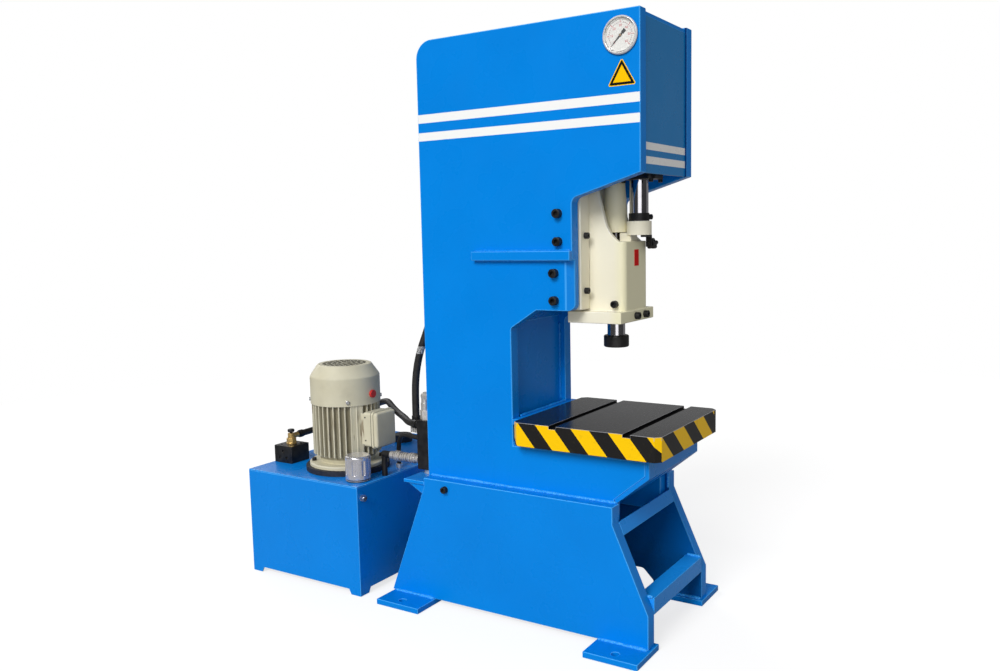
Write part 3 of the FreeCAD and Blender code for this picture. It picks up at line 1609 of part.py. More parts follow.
def hose(name, points, radius):
    wire, radii = route(points)
    start = V(*points[0])
    along = V(*points[1]) - start
    profile = Part.Wire(Part.Circle(start, along, radius).toShape())
    tube = wire.makePipeShell([profile], True, False)
    expected = math.pi * radius ** 2 * wire.Length
    print(name, "length", round(wire.Length, 1), "volume ratio", round(tube.Volume / expected, 4),
          "radii in diameters", [round(r / radius / 2, 1) for r in radii])
    save(name, tube)


def ferrule(end, towards, radius):
    """Crimped sleeve between the end of a hose and its fitting, trimmed flat at the manifold."""
    out = (V(*end) - V(*towards)).normalize()
    sleeve = bar(radius + ferrule_wall, V(*end), out, ferrule_length * 0.65)
    tail = bar(radius - 1, V(*end), out, ferrule_length)
    if abs(end[1] - ferrule_length - manifold_rear) < 1:
        tail = bar(radius - 1, V(*end), out, ferrule_length + radius)
        tail = tail.cut(box(manifold_left, manifold_right, manifold_front, manifold_rear,
                            manifold_bottom, manifold_top))
        tail = max(tail.Solids, key=lambda solid: solid.Volume)
    return sleeve.fuse(tail).removeSplitter()


def hoses():
    ends = []
    for name, points, radius in (
        ("lift_hose", lift_points, lift_hose_radius),
        ("relief_hose", relief_points, relief_hose_radius),
        ("return_hose", return_points, return_hose_radius),
    ):
        hose(name, points, radius)
        ends.append(ferrule(points[0], points[1], radius))
        ends.append(ferrule(points[-1], points[-2], radius))
    save("hose_ends", pressure_elbow(), *ends)


# ---- fasteners --------------------------------------------------------------------------------
def fasteners():
    black = []
    for y, z in side_bolt_places():
        screw = socket_screw((-half_width, y, z), (1, 0, 0), side_bolt_radius,
                             side_plate + inner_half - wing_half_width - 2 * running_gap - 8)
        black += [screw, mirrored(screw)]
    screw = socket_screw((-base_half, base_bolt_y, base_bolt_z), (1, 0, 0), base_bolt_radius,
                         base_plate + side_plate)
    black += [screw, mirrored(screw)]
    for x, z in gib_bolt_places():
        black.append(socket_screw((x, gib_front, z), (0, 1, 0), gib_bolt_radius, gib_thickness + gib_bolt_reach))
    for x, y in bush_bolt_places():
        black.append(socket_screw((x, y, bush_bottom), (0, 0, 1), bush_bolt_radius, bush_flange + web_plate))
    for x, y in table_bolt_places():
        black.append(socket_screw((x, y, table_bottom - jaw_plate_thickness), (0, 0, 1), side_bolt_radius,
                                  jaw_plate_thickness + table_bolt_reach))
    for x, y in flange_bolt_places():
        black.append(socket_screw((x, y, flange_ring_top), (0, 0, -1), flange_bolt_radius,
                                  flange_ring_top - lid_bottom))
    save("frame_bolts", *black)

    moving = [socket_screw(seat, direction, slide_screw_radius, slide_screw_reach)
              for seat, direction in slide_screw_places()]
    save("slide_screws", *moving)

    bright = []
    for (x, y), (u, w) in cowl_screw_places():
        bright.append(socket_screw((x, y, cowl_screw_z), (-u, -w, 0), cowl_screw_radius, cowl_wall))
    bright.append(socket_screw((plug_x, tank_front, plug_z), (0, 1, 0), plug_radius, tank_wall))
    save("plated_screws", *bright)


def main():
    os.makedirs("parts", exist_ok=True)
    side_plates()
    closing_plates()
    stiffener_bars()
    base()
    crossbars()
    table()
    guide()
    slide()
    marker()
    tool()
    cylinder()
    guide_rod()
    arm()
    knob()
    gauge()
    tank()
    motor()
    fan_cowl()
    terminal_box()
    pump()
    breather()
    relief_valve()
    manifold()
    hoses()
    fasteners()


main()
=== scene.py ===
import bpy
import bmesh
import json
import math
from mathutils import Matrix, Vector


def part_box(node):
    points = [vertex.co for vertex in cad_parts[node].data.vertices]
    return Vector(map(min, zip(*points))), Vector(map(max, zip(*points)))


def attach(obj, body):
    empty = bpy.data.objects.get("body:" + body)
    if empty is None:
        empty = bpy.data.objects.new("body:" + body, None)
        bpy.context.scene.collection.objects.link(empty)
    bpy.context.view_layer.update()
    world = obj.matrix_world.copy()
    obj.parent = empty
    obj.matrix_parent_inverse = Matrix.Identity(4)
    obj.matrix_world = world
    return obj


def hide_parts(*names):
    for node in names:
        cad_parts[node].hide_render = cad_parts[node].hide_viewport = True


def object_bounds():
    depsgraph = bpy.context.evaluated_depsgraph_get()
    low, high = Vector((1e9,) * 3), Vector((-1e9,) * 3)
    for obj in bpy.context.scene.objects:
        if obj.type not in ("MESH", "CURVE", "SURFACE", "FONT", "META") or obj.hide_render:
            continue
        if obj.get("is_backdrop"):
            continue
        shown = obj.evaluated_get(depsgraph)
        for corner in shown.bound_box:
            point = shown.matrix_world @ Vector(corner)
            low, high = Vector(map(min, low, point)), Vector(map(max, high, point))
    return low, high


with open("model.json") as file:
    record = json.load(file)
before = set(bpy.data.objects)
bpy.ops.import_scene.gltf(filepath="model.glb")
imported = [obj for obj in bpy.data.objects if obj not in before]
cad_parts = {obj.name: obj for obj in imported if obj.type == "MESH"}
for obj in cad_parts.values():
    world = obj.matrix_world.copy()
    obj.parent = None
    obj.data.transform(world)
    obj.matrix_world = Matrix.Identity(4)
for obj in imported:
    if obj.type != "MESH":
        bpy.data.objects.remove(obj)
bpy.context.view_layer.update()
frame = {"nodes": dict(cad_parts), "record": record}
scene = bpy.context.scene
scene.view_settings.view_transform = "Standard"

# ---- camera ------------------------------------------------------------------------------------
# Stands to the front left of the press at about chest height and looks a little down.
# Its place was solved from the straight edges of the machine.
yaw = math.radians(-57.30)
pitch = math.radians(6.513)
roll = math.radians(-1.233)
focal_pixels = 912.77
picture_pixels = 1000
sensor = 36
forward = Vector((-math.sin(yaw) * math.cos(pitch), math.cos(yaw) * math.cos(pitch),
                  -math.sin(pitch)))
level_right = forward.cross(Vector((0, 0, 1))).normalized()
level_up = level_right.cross(forward)
right = level_right * math.cos(roll) + level_up * math.sin(roll)
up = level_up * math.cos(roll) - level_right * math.sin(roll)
camera = bpy.data.objects.new("camera", bpy.data.cameras.new("camera"))
camera.data.sensor_width = sensor
camera.data.lens = focal_pixels / picture_pixels * sensor
camera.data.clip_end = 60
turn = Matrix((right, up, -forward)).transposed()
camera.matrix_world = Matrix.Translation((-2.8047, -1.6109, 1.3422)) @ turn.to_4x4()
scene.collection.objects.link(camera)
scene.camera = camera

# ---- studio ------------------------------------------------------------------------------------
# A pale round floor under a white surround that lights the press weakly from all sides, a strong
# soft lamp high at the left, and weak ones beside the camera and behind the press.
# Polished parts mirror three bright fields.
class Wire:
    """One output in a node tree. Sums of wires and numbers add Math nodes."""

    def __init__(self, nodes, socket):
        self.nodes = nodes
        self.socket = socket

    def calc(self, operation, *values):
        return self.nodes.node("Math", {"operation": operation}, dict(enumerate(values)))

    def __add__(self, other):
        return self.calc("ADD", self, other)

    __radd__ = __add__

    def __sub__(self, other):
        return self.calc("SUBTRACT", self, other)

    def __rsub__(self, other):
        return self.calc("SUBTRACT", other, self)

    def __mul__(self, other):
        return self.calc("MULTIPLY", self, other)

    __rmul__ = __mul__

    def __truediv__(self, other):
        return self.calc("DIVIDE", self, other)

    def __mod__(self, other):
        return self.calc("FLOORED_MODULO", self, other)

    def __gt__(self, other):
        return self.calc("GREATER_THAN", self, other)

    def __lt__(self, other):
        return self.calc("LESS_THAN", self, other)

    def __abs__(self):
        return self.calc("ABSOLUTE", self)

    def root(self):
        return self.calc("SQRT", self)

    def larger(self, other):
        return self.calc("MAXIMUM", self, other)

    def limited(self):
        return self.larger(0).calc("MINIMUM", self.larger(0), 1)

    def within(self, low, high):
        return (self > low) * (self < high)

    def diagonal(self, other):
        """Distance made by this one and another at right angles to it."""
        return (self * self + other * other).root()


class Nodes:
    """The node tree of the surround, the floor or a finish."""

    def __init__(self, tree):
        self.tree = tree

    def node(self, kind, settings, sockets, out=0):
        """Adds a node: first its settings, then a number, colour or wire for each socket."""
        made = self.tree.nodes.new("ShaderNode" + kind)
        for name, value in settings.items():
            setattr(made, name, value)
        for name, value in sockets.items():
            if isinstance(value, Wire):
                self.tree.links.new(value.socket, made.inputs[name])
            else:
                made.inputs[name].default_value = value
        return Wire(self, made.outputs[out])

    def spread(self, value, low, high, to_low=0.0, to_high=1.0):
        sockets = {"Value": value, "From Min": low, "From Max": high,
                   "To Min": to_low, "To Max": to_high}
        return self.node("MapRange", {}, sockets)


floor_paint = bpy.data.materials.new("floor")
floor_paint.use_nodes = True
matt_floor = Nodes(floor_paint.node_tree)
matt = matt_floor.node("BsdfDiffuse", {}, {"Color": (0.35, 0.35, 0.35, 1)})
seen = matt_floor.node("LightPath", {}, {}, out="Is Camera Ray")
glow = matt_floor.node("Emission", {}, {"Color": (0.74, 0.74, 0.74, 1), "Strength": seen})
whole = matt_floor.node("AddShader", {}, {0: matt, 1: glow})
surface = matt_floor.tree.nodes["Material Output"].inputs["Surface"]
matt_floor.tree.links.new(whole.socket, surface)

floor_radius = 6
floor_height = -0.001
round_floor = bmesh.new()
bmesh.ops.create_circle(round_floor, cap_ends=True, segments=96, radius=floor_radius)
bmesh.ops.translate(round_floor, verts=round_floor.verts, vec=(0, 0, floor_height))
floor_mesh = bpy.data.meshes.new("floor")
round_floor.to_mesh(floor_mesh)
round_floor.free()
floor_mesh.materials.append(floor_paint)
floor = bpy.data.objects.new("floor", floor_mesh)
scene.collection.objects.link(floor)
floor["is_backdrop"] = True

world = bpy.data.worlds.new("surround")
scene.world = world
world.use_nodes = True
surround = Nodes(world.node_tree)
heading = surround.node("TexCoord", {}, {}, out="Generated")
across, along = (surround.node("SeparateXYZ", {}, {0: heading}, out=axis) for axis in "XY")


def bright_field(azimuth, near, far):
    """1 towards an azimuth in degrees, fading to 0 between two angles away from it."""
    turn = math.radians(azimuth)
    facing = across * math.cos(turn) + along * math.sin(turn)
    return surround.spread(facing, math.cos(math.radians(far)), math.cos(math.radians(near)))


fill_light = 0.30
mirrored = (bright_field(211, 10, 28) * 0.35 + bright_field(327, 8, 24) * 0.20
            + bright_field(21, 8, 20) * 0.50 + 0.05)
rays = {kind: surround.node("LightPath", {}, {}, out="Is " + kind + " Ray")
        for kind in ("Camera", "Transmission", "Glossy", "Diffuse")}
open_view = rays["Camera"].larger(rays["Transmission"])
strength = open_view + rays["Glossy"] * mirrored + rays["Diffuse"] * fill_light
surround.tree.links.new(strength.socket, surround.tree.nodes["Background"].inputs["Strength"])
surround.tree.nodes["Background"].inputs["Color"].default_value = (1, 1, 1, 1)

for name, source, power, spread in (("left_lamp", (-0.80, -0.03, 0.58), 2.36, 28),
                                    ("front_lamp", (-0.83, -0.56, 0.16), 0.44, 44),
                                    ("back_lamp", (0.35, 0.80, 0.45), 0.80, 40)):
    lamp_data = bpy.data.lights.new(name, "SUN")
    lamp_data.energy = power
    lamp_data.angle = math.radians(spread)
    lamp = bpy.data.objects.new(name, lamp_data)
    lamp.rotation_euler = Vector(source).to_track_quat("Z", "Y").to_euler()
    scene.collection.objects.link(lamp)

# ---- base --------------------------------------------------------------------------------------
# Two splayed side plates of thick steel on four foot plates, tied by flat bars and box bars.
# Welded, ground at the edges and sprayed with gloss blue enamel.
parts = frame["nodes"]
bodies = frame["record"]["behaviour"]["bodies"]
body_of = {node: body for body, nodes in bodies.items() for node in nodes}


class Finish(Nodes):
    """A surface finish, built on one Principled shader."""

    def __init__(self, name, **fixed):
        self.material = bpy.data.materials.new(name)
        self.material.use_nodes = True
        super().__init__(self.material.node_tree)
        self.shader = self.tree.nodes["Principled BSDF"]
        for socket, value in fixed.items():
            self.shader.inputs[socket.replace("_", " ")].default_value = value

    def lead(self, socket, wire):
        self.tree.links.new(wire.socket, self.shader.inputs[socket])

    def place(self):
        return self.node("TexCoord", {}, {}, out="Object")

    def axis(self, letter):
        return self.node("SeparateXYZ", {}, {0: self.place()}, out=letter)

    def axes(self, letters="XYZ"):
        return [self.axis(letter) for letter in letters]

    def from_line(self, letters, centre):
        """Distance from a line that runs along the third axis."""
        first, second = (self.axis(letter) - place for letter, place in zip(letters, centre))
        return first.diagonal(second)

    def noise(self, scale, detail=2.0, stretch=(1, 1, 1)):
        spread = self.node("Mapping", {}, {"Vector": self.place(), "Scale": stretch})
        return self.node("TexNoise", {}, {"Vector": spread, "Scale": scale, "Detail": detail})

    def mixed(self, share, first, second):
        return self.node("Mix", {"data_type": "RGBA"}, {0: share, 6: first, 7: second}, out=2)

    def mottled(self, pattern, low, high, first, second):
        """The first colour at a pattern's low value, turning into the second at its high one."""
        return self.mixed(self.spread(pattern, low, high), first, second)

    def edge(self):
        """1 on the rounded edges of a finished part and 0 elsewhere."""
        return self.node("Attribute", {"attribute_name": "edge"}, {}, out="Fac")

    def uneven_gloss(self, pattern, smooth, rough):
        """Lets the roughness follow a pattern between two values."""
        self.lead("Roughness", self.spread(pattern, 0.3, 0.7, smooth, rough))

    def bump(self, height, strength, depth):
        sockets = {"Height": height, "Strength": strength, "Distance": depth}
        self.lead("Normal", self.node("Bump", {}, sockets))


def blue_enamel(name, gloss=0.25, edge_sheen_and_wear=0.75):
    """Gloss enamel with a slight orange peel and a painted highlight on its rounded edges; the
    third argument sets how much lighter an edge is painted.
    """
    paint = Finish(name, Specular_IOR_Level=gloss)
    cloud = paint.noise(3.5, 3)
    body = paint.mottled(cloud, 0.3, 0.7, (0.0, 0.222, 0.735, 1), (0.0, 0.240, 0.785, 1))
    # painted highlight: the rounded edges turn a lighter blue
    paint.colour = paint.mixed(paint.edge() * edge_sheen_and_wear, body, (0.085, 0.470, 1.0, 1))
    paint.lead("Base Color", paint.colour)
    paint.uneven_gloss(paint.noise(9, 3), 0.24, 0.33)
    paint.bump(paint.noise(260, 2), 0.10, 0.0003)
    return paint


def joined(node):
    """The CAD part's facets as one mesh, with flat areas in one piece."""
    same_place = 0.000004
    same_plane = math.radians(0.4)
    shape = bmesh.new()
    shape.from_mesh(parts[node].data)
    bmesh.ops.remove_doubles(shape, verts=shape.verts, dist=same_place)
    bmesh.ops.dissolve_limit(shape, angle_limit=same_plane, verts=shape.verts, edges=shape.edges)
    return shape


def show(name, shape, finish, body, nodes=(), smooth=32):
    """Makes a piece of the model from a bmesh and lets it ride and stand for its CAD parts."""
    mesh = bpy.data.meshes.new(name)
    shape.to_mesh(mesh)
    shape.free()
    mesh.materials.append(finish.material)
    mesh.shade_smooth()
    mesh.set_sharp_from_angle(angle=math.radians(smooth))
    piece = bpy.data.objects.new(name, mesh)
    scene.collection.objects.link(piece)
    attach(piece, body)
    if nodes:
        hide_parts(*nodes)
    return piece


def add_box(shape, size, middle):
    """Adds a box to a bmesh and gives back its corners."""
    corners = bmesh.ops.create_cube(shape, size=1)["verts"]
    bmesh.ops.scale(shape, verts=corners, vec=size)
    bmesh.ops.translate(shape, verts=corners, vec=middle)
    return corners


def rounded(shape, edges, radius, segments):
    """Rounds edges of a bmesh and gives back the new faces."""
    made = bmesh.ops.bevel(shape, geom=edges, offset=radius, offset_type="OFFSET",
                           segments=segments, profile=0.5, affect="EDGES", clamp_overlap=False,
                           material=-1)
    return made["faces"]


def break_edges(shape, rounding):
    """Rounds the sharp edges and marks the new faces in the attribute edge."""
    blunt = math.radians(33)
    edge = shape.faces.layers.float.new("edge")
    sharp = [e for e in shape.edges if e.is_manifold and e.calc_face_angle() > blunt]
    for face in rounded(shape, sharp, rounding, 2):
        face[edge] = 1


def finished_part(node, rounding, finish, smooth=32, turn=None):
    """The CAD part with its sharp edges broken by a small radius, as after grinding."""
    shape = joined(node)
    if turn:
        bmesh.ops.transform(shape, matrix=turn, verts=shape.verts)
    break_edges(shape, rounding)
    piece = show(node + "_finished", shape, finish, body_of[node], [node], smooth)
    level = piece.modifiers.new("flat faces stay flat", "WEIGHTED_NORMAL")
    level.keep_sharp = True
    return piece


def weld_bead(seam, start, end, first, second, leg):
    """Rippled bead along a corner whose two faces lead away along first and second."""
    ring_step = 0.0021
    ripple_pitch = 0.0052
    start, end, first, second = (Vector(v) for v in (start, end, first, second))
    run = end - start
    rings = max(4, int(run.length / ring_step))
    bead = bmesh.new()
    bmesh.ops.create_grid(bead, x_segments=rings, y_segments=9, size=1)
    for vert in bead.verts:
        share = (vert.co.x + 1) / 2
        turn = (vert.co.y + 1) * math.pi
        along = share * run.length
        slant = 1.3 * math.cos(turn - math.pi / 4)
        ripple = 0.5 + 0.5 * math.sin(along / ripple_pitch * 2 * math.pi - slant)
        wander = math.sin(along * 61) * 0.07 + math.sin(along * 23.7 + 1.1) * 0.08
        radius = leg * (0.70 + 0.13 * ripple + wander)
        taper = min(1.0, 0.45 + min(share, 1 - share) * run.length / leg)
        across = first * math.cos(turn) + second * math.sin(turn)
        vert.co = start + run * share + (first + second) * leg * 0.22 + across * radius * taper
    bmesh.ops.remove_doubles(bead, verts=bead.verts, dist=0.00002)
    bmesh.ops.holes_fill(bead, edges=[e for e in bead.edges if e.is_boundary], sides=0)
    bmesh.ops.recalc_face_normals(bead, faces=bead.faces)
    join(seam, bead)


def join(shape, piece):
    """Adds a bmesh to another one."""
    loose = bpy.data.meshes.new("loose")
    piece.to_mesh(loose)
    piece.free()
    shape.from_mesh(loose)
    bpy.data.meshes.remove(loose)


base_face = 0.260
column_face = 0.212
foot_top = 0.020
base_top = 0.466
bar_starts = (-0.506, 0.392)
bar_depth = 0.058
bar_height = 0.055
bar_top = 0.176
upward = (0, 0, 1)
frontward = (0, -1, 0)
backward = (0, 1, 0)

base_blue = blue_enamel("base_blue", 0.18)
x, z = base_blue.axes("XZ")
# painted shade: the inner faces of the base plates above the feet are painted dark blue
inner_face_shade = (abs(x) < column_face + 0.0008) * (z > foot_top + 0.0005)
shaded_inner_blue = base_blue.mixed(inner_face_shade * 0.75, base_blue.colour, (0.0, 0.050, 0.210, 1))
base_blue.lead("Base Color", shaded_inner_blue)
for node, rounding in (("base_plate_left", 0.0022), ("base_plate_right", 0.0022),
                       ("foot_plates", 0.0018)):
    finished_part(node, rounding, base_blue)
bar_blue = blue_enamel("bar_blue", 0.25)
bar_blue.lead("Base Color", bar_blue.mixed(0.45, bar_blue.colour, (0.020, 0.360, 1.0, 1)))
finished_part("base_crossbars", 0.0018, bar_blue)

bar_ends = bmesh.new()
for side in (-1, 1):
    for y in bar_starts:
        add_box(bar_ends, (0.003, 0.0464, 0.0434),
                (side * (column_face - 0.0022), y + bar_depth / 2, bar_top - bar_height / 2))
break_edges(bar_ends, 0.0003)
show("bar_ends", bar_ends, bar_blue, "press")

seam = bmesh.new()
for side in (-1, 1):
    out = (side, 0, 0)
    into = (-side, 0, 0)
    inner = side * column_face
    outer = side * base_face
    weld_bead(seam, (inner, -0.378, base_top), (inner, 0.363, base_top), out, upward, 0.0065)
    for near, far in ((-0.503, -0.330), (0.330, 0.508)):
        weld_bead(seam, (outer, near, foot_top), (outer, far, foot_top), out, upward, 0.007)
        weld_bead(seam, (inner, near, foot_top), (inner, far, foot_top), into, upward, 0.007)
    for y in bar_starts:
        rear = y + bar_depth
        weld_bead(seam, (inner, y + 0.004, bar_top), (inner, y + 0.054, bar_top), into, upward,
                  0.006)
        weld_bead(seam, (inner, rear, 0.124), (inner, rear, 0.173), into, backward, 0.006)
    weld_bead(seam, (inner, -0.378, base_top), (inner, -0.378, 0.412), into, frontward, 0.005)
weld_blue = blue_enamel("weld_blue")
# painted highlights: lighter blue spots over the bead stand in for glints on its ripples
glint_spots = weld_blue.mottled(weld_blue.noise(210, 3), 0.42, 0.62,
                            (0.008, 0.280, 0.830, 1), (0.090, 0.450, 0.930, 1))
weld_blue.lead("Base Color", glint_spots)
show("base_welds", seam, weld_blue, "press", smooth=60)

# ---- C-shaped frame ----------------------------------------------------------------------------
# Two flame-cut steel side plates, welded to covers at the front, top, belly and rear, a folded
# plate in the throat and one over the jaw, and sprayed like the base. The left plate and the
# front cover carry plain white bands.
plate_lining = 0.167
head_front = -0.476
head_bottom = 1.50
press_top = 2.000
sticker_y = -0.4045
sticker_z = 1.8008
band_white = (0.93, 0.93, 0.92, 1)

frame_blue = blue_enamel("frame_blue", 0.14)
for node, rounding in (("head_top_plate", 0.0012), ("head_belly_plate", 0.0012),
                       ("rear_plate", 0.0012), ("throat_plate", 0.0016),
                       ("stiffener_bars", 0.0020), ("manifold_shelf", 0.0015)):
    finished_part(node, rounding, frame_blue)
shaded_blue = blue_enamel("shaded_blue", 0.14)
x, y, z = shaded_blue.axes()
# painted shade: the right plate's inner face beside the front cover is painted near black
corner = abs(x).within(0.150, plate_lining + 0.001) * (y < head_front + 0.020) * (z > head_bottom)
painted_corner_shade = shaded_blue.mixed(corner, shaded_blue.colour, (0.0, 0.035, 0.160, 1))
shaded_blue.lead("Base Color", painted_corner_shade)
finished_part("side_plate_right", 0.0022, shaded_blue)
finished_part("jaw_plate", 0.0022, blue_enamel("jaw_blue", edge_sheen_and_wear=0.15))

side_bands = blue_enamel("banded_side_blue", 0.12, 0.55)
x, y, z = side_bands.axes()
# painted shade: the front edge face of the left plate's head is painted dark blue
shaded_head_edge = (y < head_front + 0.0008) * (z > head_bottom)
# painted highlight: the top edge of the left plate is painted a lighter blue
top_edge_highlight = z > press_top - 0.0022
side_blue = side_bands.mixed(shaded_head_edge, side_bands.colour, (0.0, 0.060, 0.230, 1))
side_blue = side_bands.mixed(top_edge_highlight * 0.5, side_blue, (0.16, 0.55, 1.0, 1))
outside = x < -column_face + 0.0006
bands = (z.within(1.721, 1.750) + z.within(1.660, 1.688)) * outside
banded = side_bands.mixed(bands, side_blue, band_white)
# plain yellow triangle with a black border and nothing in it
aside = y - sticker_y
above = z - sticker_z
away = aside.diagonal(above)
reach = (aside * 0.866 + above * 0.5).larger(above * 0.5 - aside * 0.866).larger(0 - above)
sticker = (reach < 0.0276) * (away < 0.0500) * outside
border = reach.within(0.0172, 0.0248) * (away < 0.0468)
inside = side_bands.mixed(border, (1.0, 0.575, 0.0, 1), (0.008, 0.008, 0.008, 1))
side_bands.lead("Base Color", side_bands.mixed(sticker, banded, inside))
finished_part("side_plate_left", 0.0032, side_bands)

front_bands = blue_enamel("banded_front_blue", 0.40)
z = front_bands.axis("Z")
# painted shade: the front cover's blue is painted darker than that of the side plates
shaded_front_blue = front_bands.mixed(0.7, front_bands.colour, (0.0, 0.215, 0.500, 1))
bands = z.within(1.583, 1.606) + z.within(1.540, 1.563)
front_bands.lead("Base Color", front_bands.mixed(bands, shaded_front_blue, band_white))
finished_part("head_front_cover", 0.0012, front_bands)

seam = bmesh.new()
for side in (-1, 1):
    out = (side, 0, 0)
    into = (-side, 0, 0)
    face = side * column_face
    lining = side * plate_lining
    for height, way in ((1.275, 1), (1.245, -1)):
        weld_bead(seam, (face, -0.222, height), (face, 0.148, height), out, (0, 0, way), 0.006)
    weld_bead(seam, (face, 0.151, 1.248), (face, 0.151, 1.272), out, backward, 0.006)
    weld_bead(seam, (lining, 0.033, 0.712), (lining, 0.033, 1.000), into, frontward, 0.006)
    weld_bead(seam, (lining, 0.370, 0.480), (lining, 0.370, 1.880), into, backward, 0.0045)
weld_bead(seam, (-0.160, 0.011, 0.707), (0.160, 0.011, 0.707), frontward, upward, 0.006)
smooth_weld = blue_enamel("smooth_weld_blue")
# painted highlights: lighter blue patches over the bead stand for glints on its crests
crest_highlight = smooth_weld.spread(smooth_weld.noise(120, 3), 0.45, 0.70) * 0.7
crested = smooth_weld.mixed(crest_highlight, smooth_weld.colour, (0.030, 0.360, 0.900, 1))
smooth_weld.lead("Base Color", crested)
show("frame_welds", seam, smooth_weld, "press", smooth=60)

# ---- table -------------------------------------------------------------------------------------
# Thick cast iron table, bolted down from below, ground dark on top, with two grooves across it
# and chamfered corners. Its edge is painted with slanting yellow and black stripes.
table_side = 0.260
table_top = 0.707
groove_floor = 0.697
stripe_level = 0.697
rear_groove_y = -0.1708
front_groove_y = -0.4348
groove_half = 0.0137
side_stripe = 0.0664
front_stripe = 0.0895

table_finish = Finish("table_steel", Specular_IOR_Level=0.18)
x, y, z = table_finish.axes()
lines = table_finish.noise(30, 3, (1.2, 26, 1))
cloud = table_finish.spread(table_finish.noise(5, 4), 0.5, 0.8) * 0.4
ground = table_finish.mottled(lines, 0.3, 0.7,
                              (0.010, 0.0105, 0.012, 1), (0.018, 0.0185, 0.021, 1))
ground = table_finish.mixed(cloud, ground, (0.032, 0.032, 0.034, 1))
rear_groove = abs(y - rear_groove_y) < groove_half
front_groove = abs(y - front_groove_y) < groove_half
groove = (rear_groove.larger(front_groove) * (z > groove_floor - 0.0004)
          * (abs(x) < table_side - 0.0003))
top = z > table_top - 0.0007
side_run = (y + (0.700 - z) * 0.82 + 0.044) / -side_stripe
front_run = (x - (stripe_level - z) * 1.16 + 0.229) / front_stripe
far_corner = (x > 0.2250) * (y < -0.520) * (z > 0.672)
on_side = abs(x) > 0.2422
run = side_run * on_side + front_run * (1 - on_side)
yellow = ((run % 2) > 1) * (1 - far_corner)
scuff = table_finish.spread(table_finish.noise(60, 4), 0.62, 0.72)
stripes = table_finish.mixed(yellow, (0.015, 0.014, 0.013, 1), (1.0, 0.600, 0.0, 1))
stripes = table_finish.mixed(scuff * 0.12, stripes, (0.10, 0.08, 0.03, 1))
skin = table_finish.mixed(top, stripes, ground)
skin = table_finish.mixed(groove, skin, (0.006, 0.006, 0.007, 1))
# painted highlight: the table's edges outside the grooves are painted light grey
rim = table_finish.edge() * (z > groove_floor - 0.0015) * (1 - groove)
skin = table_finish.mixed(rim * 0.8, skin, (0.40, 0.40, 0.42, 1))
polish = table_finish.spread(lines, 0.3, 0.7, -0.20, -0.12)
table_finish.lead("Base Color", skin)
table_finish.lead("Metallic", top * 0.35 * (1 - rim))
table_finish.lead("Roughness", top * polish + 0.40)
table_finish.bump(lines * top + table_finish.noise(140, 2) * 0.4, 0.10, 0.0004)
finished_part("work_table", 0.0013, table_finish)

# ---- guide housing -----------------------------------------------------------------------------
# Iron casting in the nose that guides the slide, clamped between the side plates and closed by
# two gib plates at the front. Filled, and painted in a satin cream.
def cream_enamel(name):
    """Satin cream over an iron casting: soft waves, fine grain and faint stains."""
    paint = Finish(name, Specular_IOR_Level=0.28)
    cloud = paint.noise(7, 4)
    body = paint.mottled(cloud, 0.3, 0.7, (0.840, 0.790, 0.620, 1), (0.890, 0.850, 0.690, 1))
    stains = paint.spread(paint.noise(14, 3), 0.45, 0.80)
    body = paint.mixed(stains * 0.20, body, (0.74, 0.68, 0.51, 1))
    # painted highlight: the rounded edges turn a paler cream
    paint.colour = paint.mixed(paint.edge() * 0.5, body, (0.92, 0.89, 0.80, 1))
    paint.lead("Base Color", paint.colour)
    paint.uneven_gloss(cloud, 0.34, 0.46)
    paint.bump(paint.noise(48, 3) * 2 + paint.noise(420, 2) * 0.5, 0.16, 0.0008)
    return paint


guide_cream = cream_enamel("guide_cream")
finished_part("slide_housing", 0.0015, guide_cream)
finished_part("gib_plates", 0.0038, guide_cream)

# ---- slide -------------------------------------------------------------------------------------
# Hollow iron casting with two curved cheeks over a deck and a square tool flange at its foot.
# Painted like the housing, with a small plain red plate on its front.
slide_cream = cream_enamel("slide_cream")
# painted shade: the front of the slide turns yellower, standing in for the shade there
toward_front = slide_cream.spread(slide_cream.axis("Y"), -0.315, -0.345)
warm_shade_tint = slide_cream.mixed(0.6, slide_cream.colour, (0.84, 0.80, 0.50, 1))
slide_cream.lead("Base Color", slide_cream.mixed(toward_front, slide_cream.colour, warm_shade_tint))
finished_part("press_slide", 0.0026, slide_cream)

red_plate = Finish("red_plate", Specular_IOR_Level=0.06)
fade = red_plate.noise(55, 4)
red = red_plate.mottled(fade, 0.35, 0.7, (0.62, 0.002, 0.003, 1), (0.74, 0.006, 0.006, 1))
# painted highlight: the plate's rounded edges turn a paler red
red_plate.lead("Base Color", red_plate.mixed(red_plate.edge() * 0.5, red, (0.75, 0.10, 0.08, 1)))
red_plate.uneven_gloss(fade, 0.28, 0.42)
red_plate.bump(red_plate.noise(300, 2), 0.1, 0.0002)
finished_part("slide_marker", 0.0004, red_plate)

# ---- tool shank and nut ------------------------------------------------------------------------
# Hard-chromed shank in the foot of the slide, and a knurled black nut that clamps the punch.
def hard_chrome(name, rings=(1, 1, 60), roughness=0.09, shine=0.74):
    """Ground and chromed steel, with faint grinding rings round its axis."""
    metal = Finish(name, Metallic=1.0)
    fine = metal.noise(12, 3, rings)
    smear = metal.noise(16, 4)
    clean = (shine * 0.97, shine * 0.95, shine, 1)
    oily = (shine * 0.76, shine * 0.73, shine * 0.78, 1)
    metal.lead("Base Color", metal.mottled(smear, 0.4, 0.75, clean, oily))
    metal.lead("Roughness", metal.spread(smear, 0.3, 0.75, roughness, roughness + 0.10))
    metal.bump(fine, 0.04, 0.0002)
    return metal


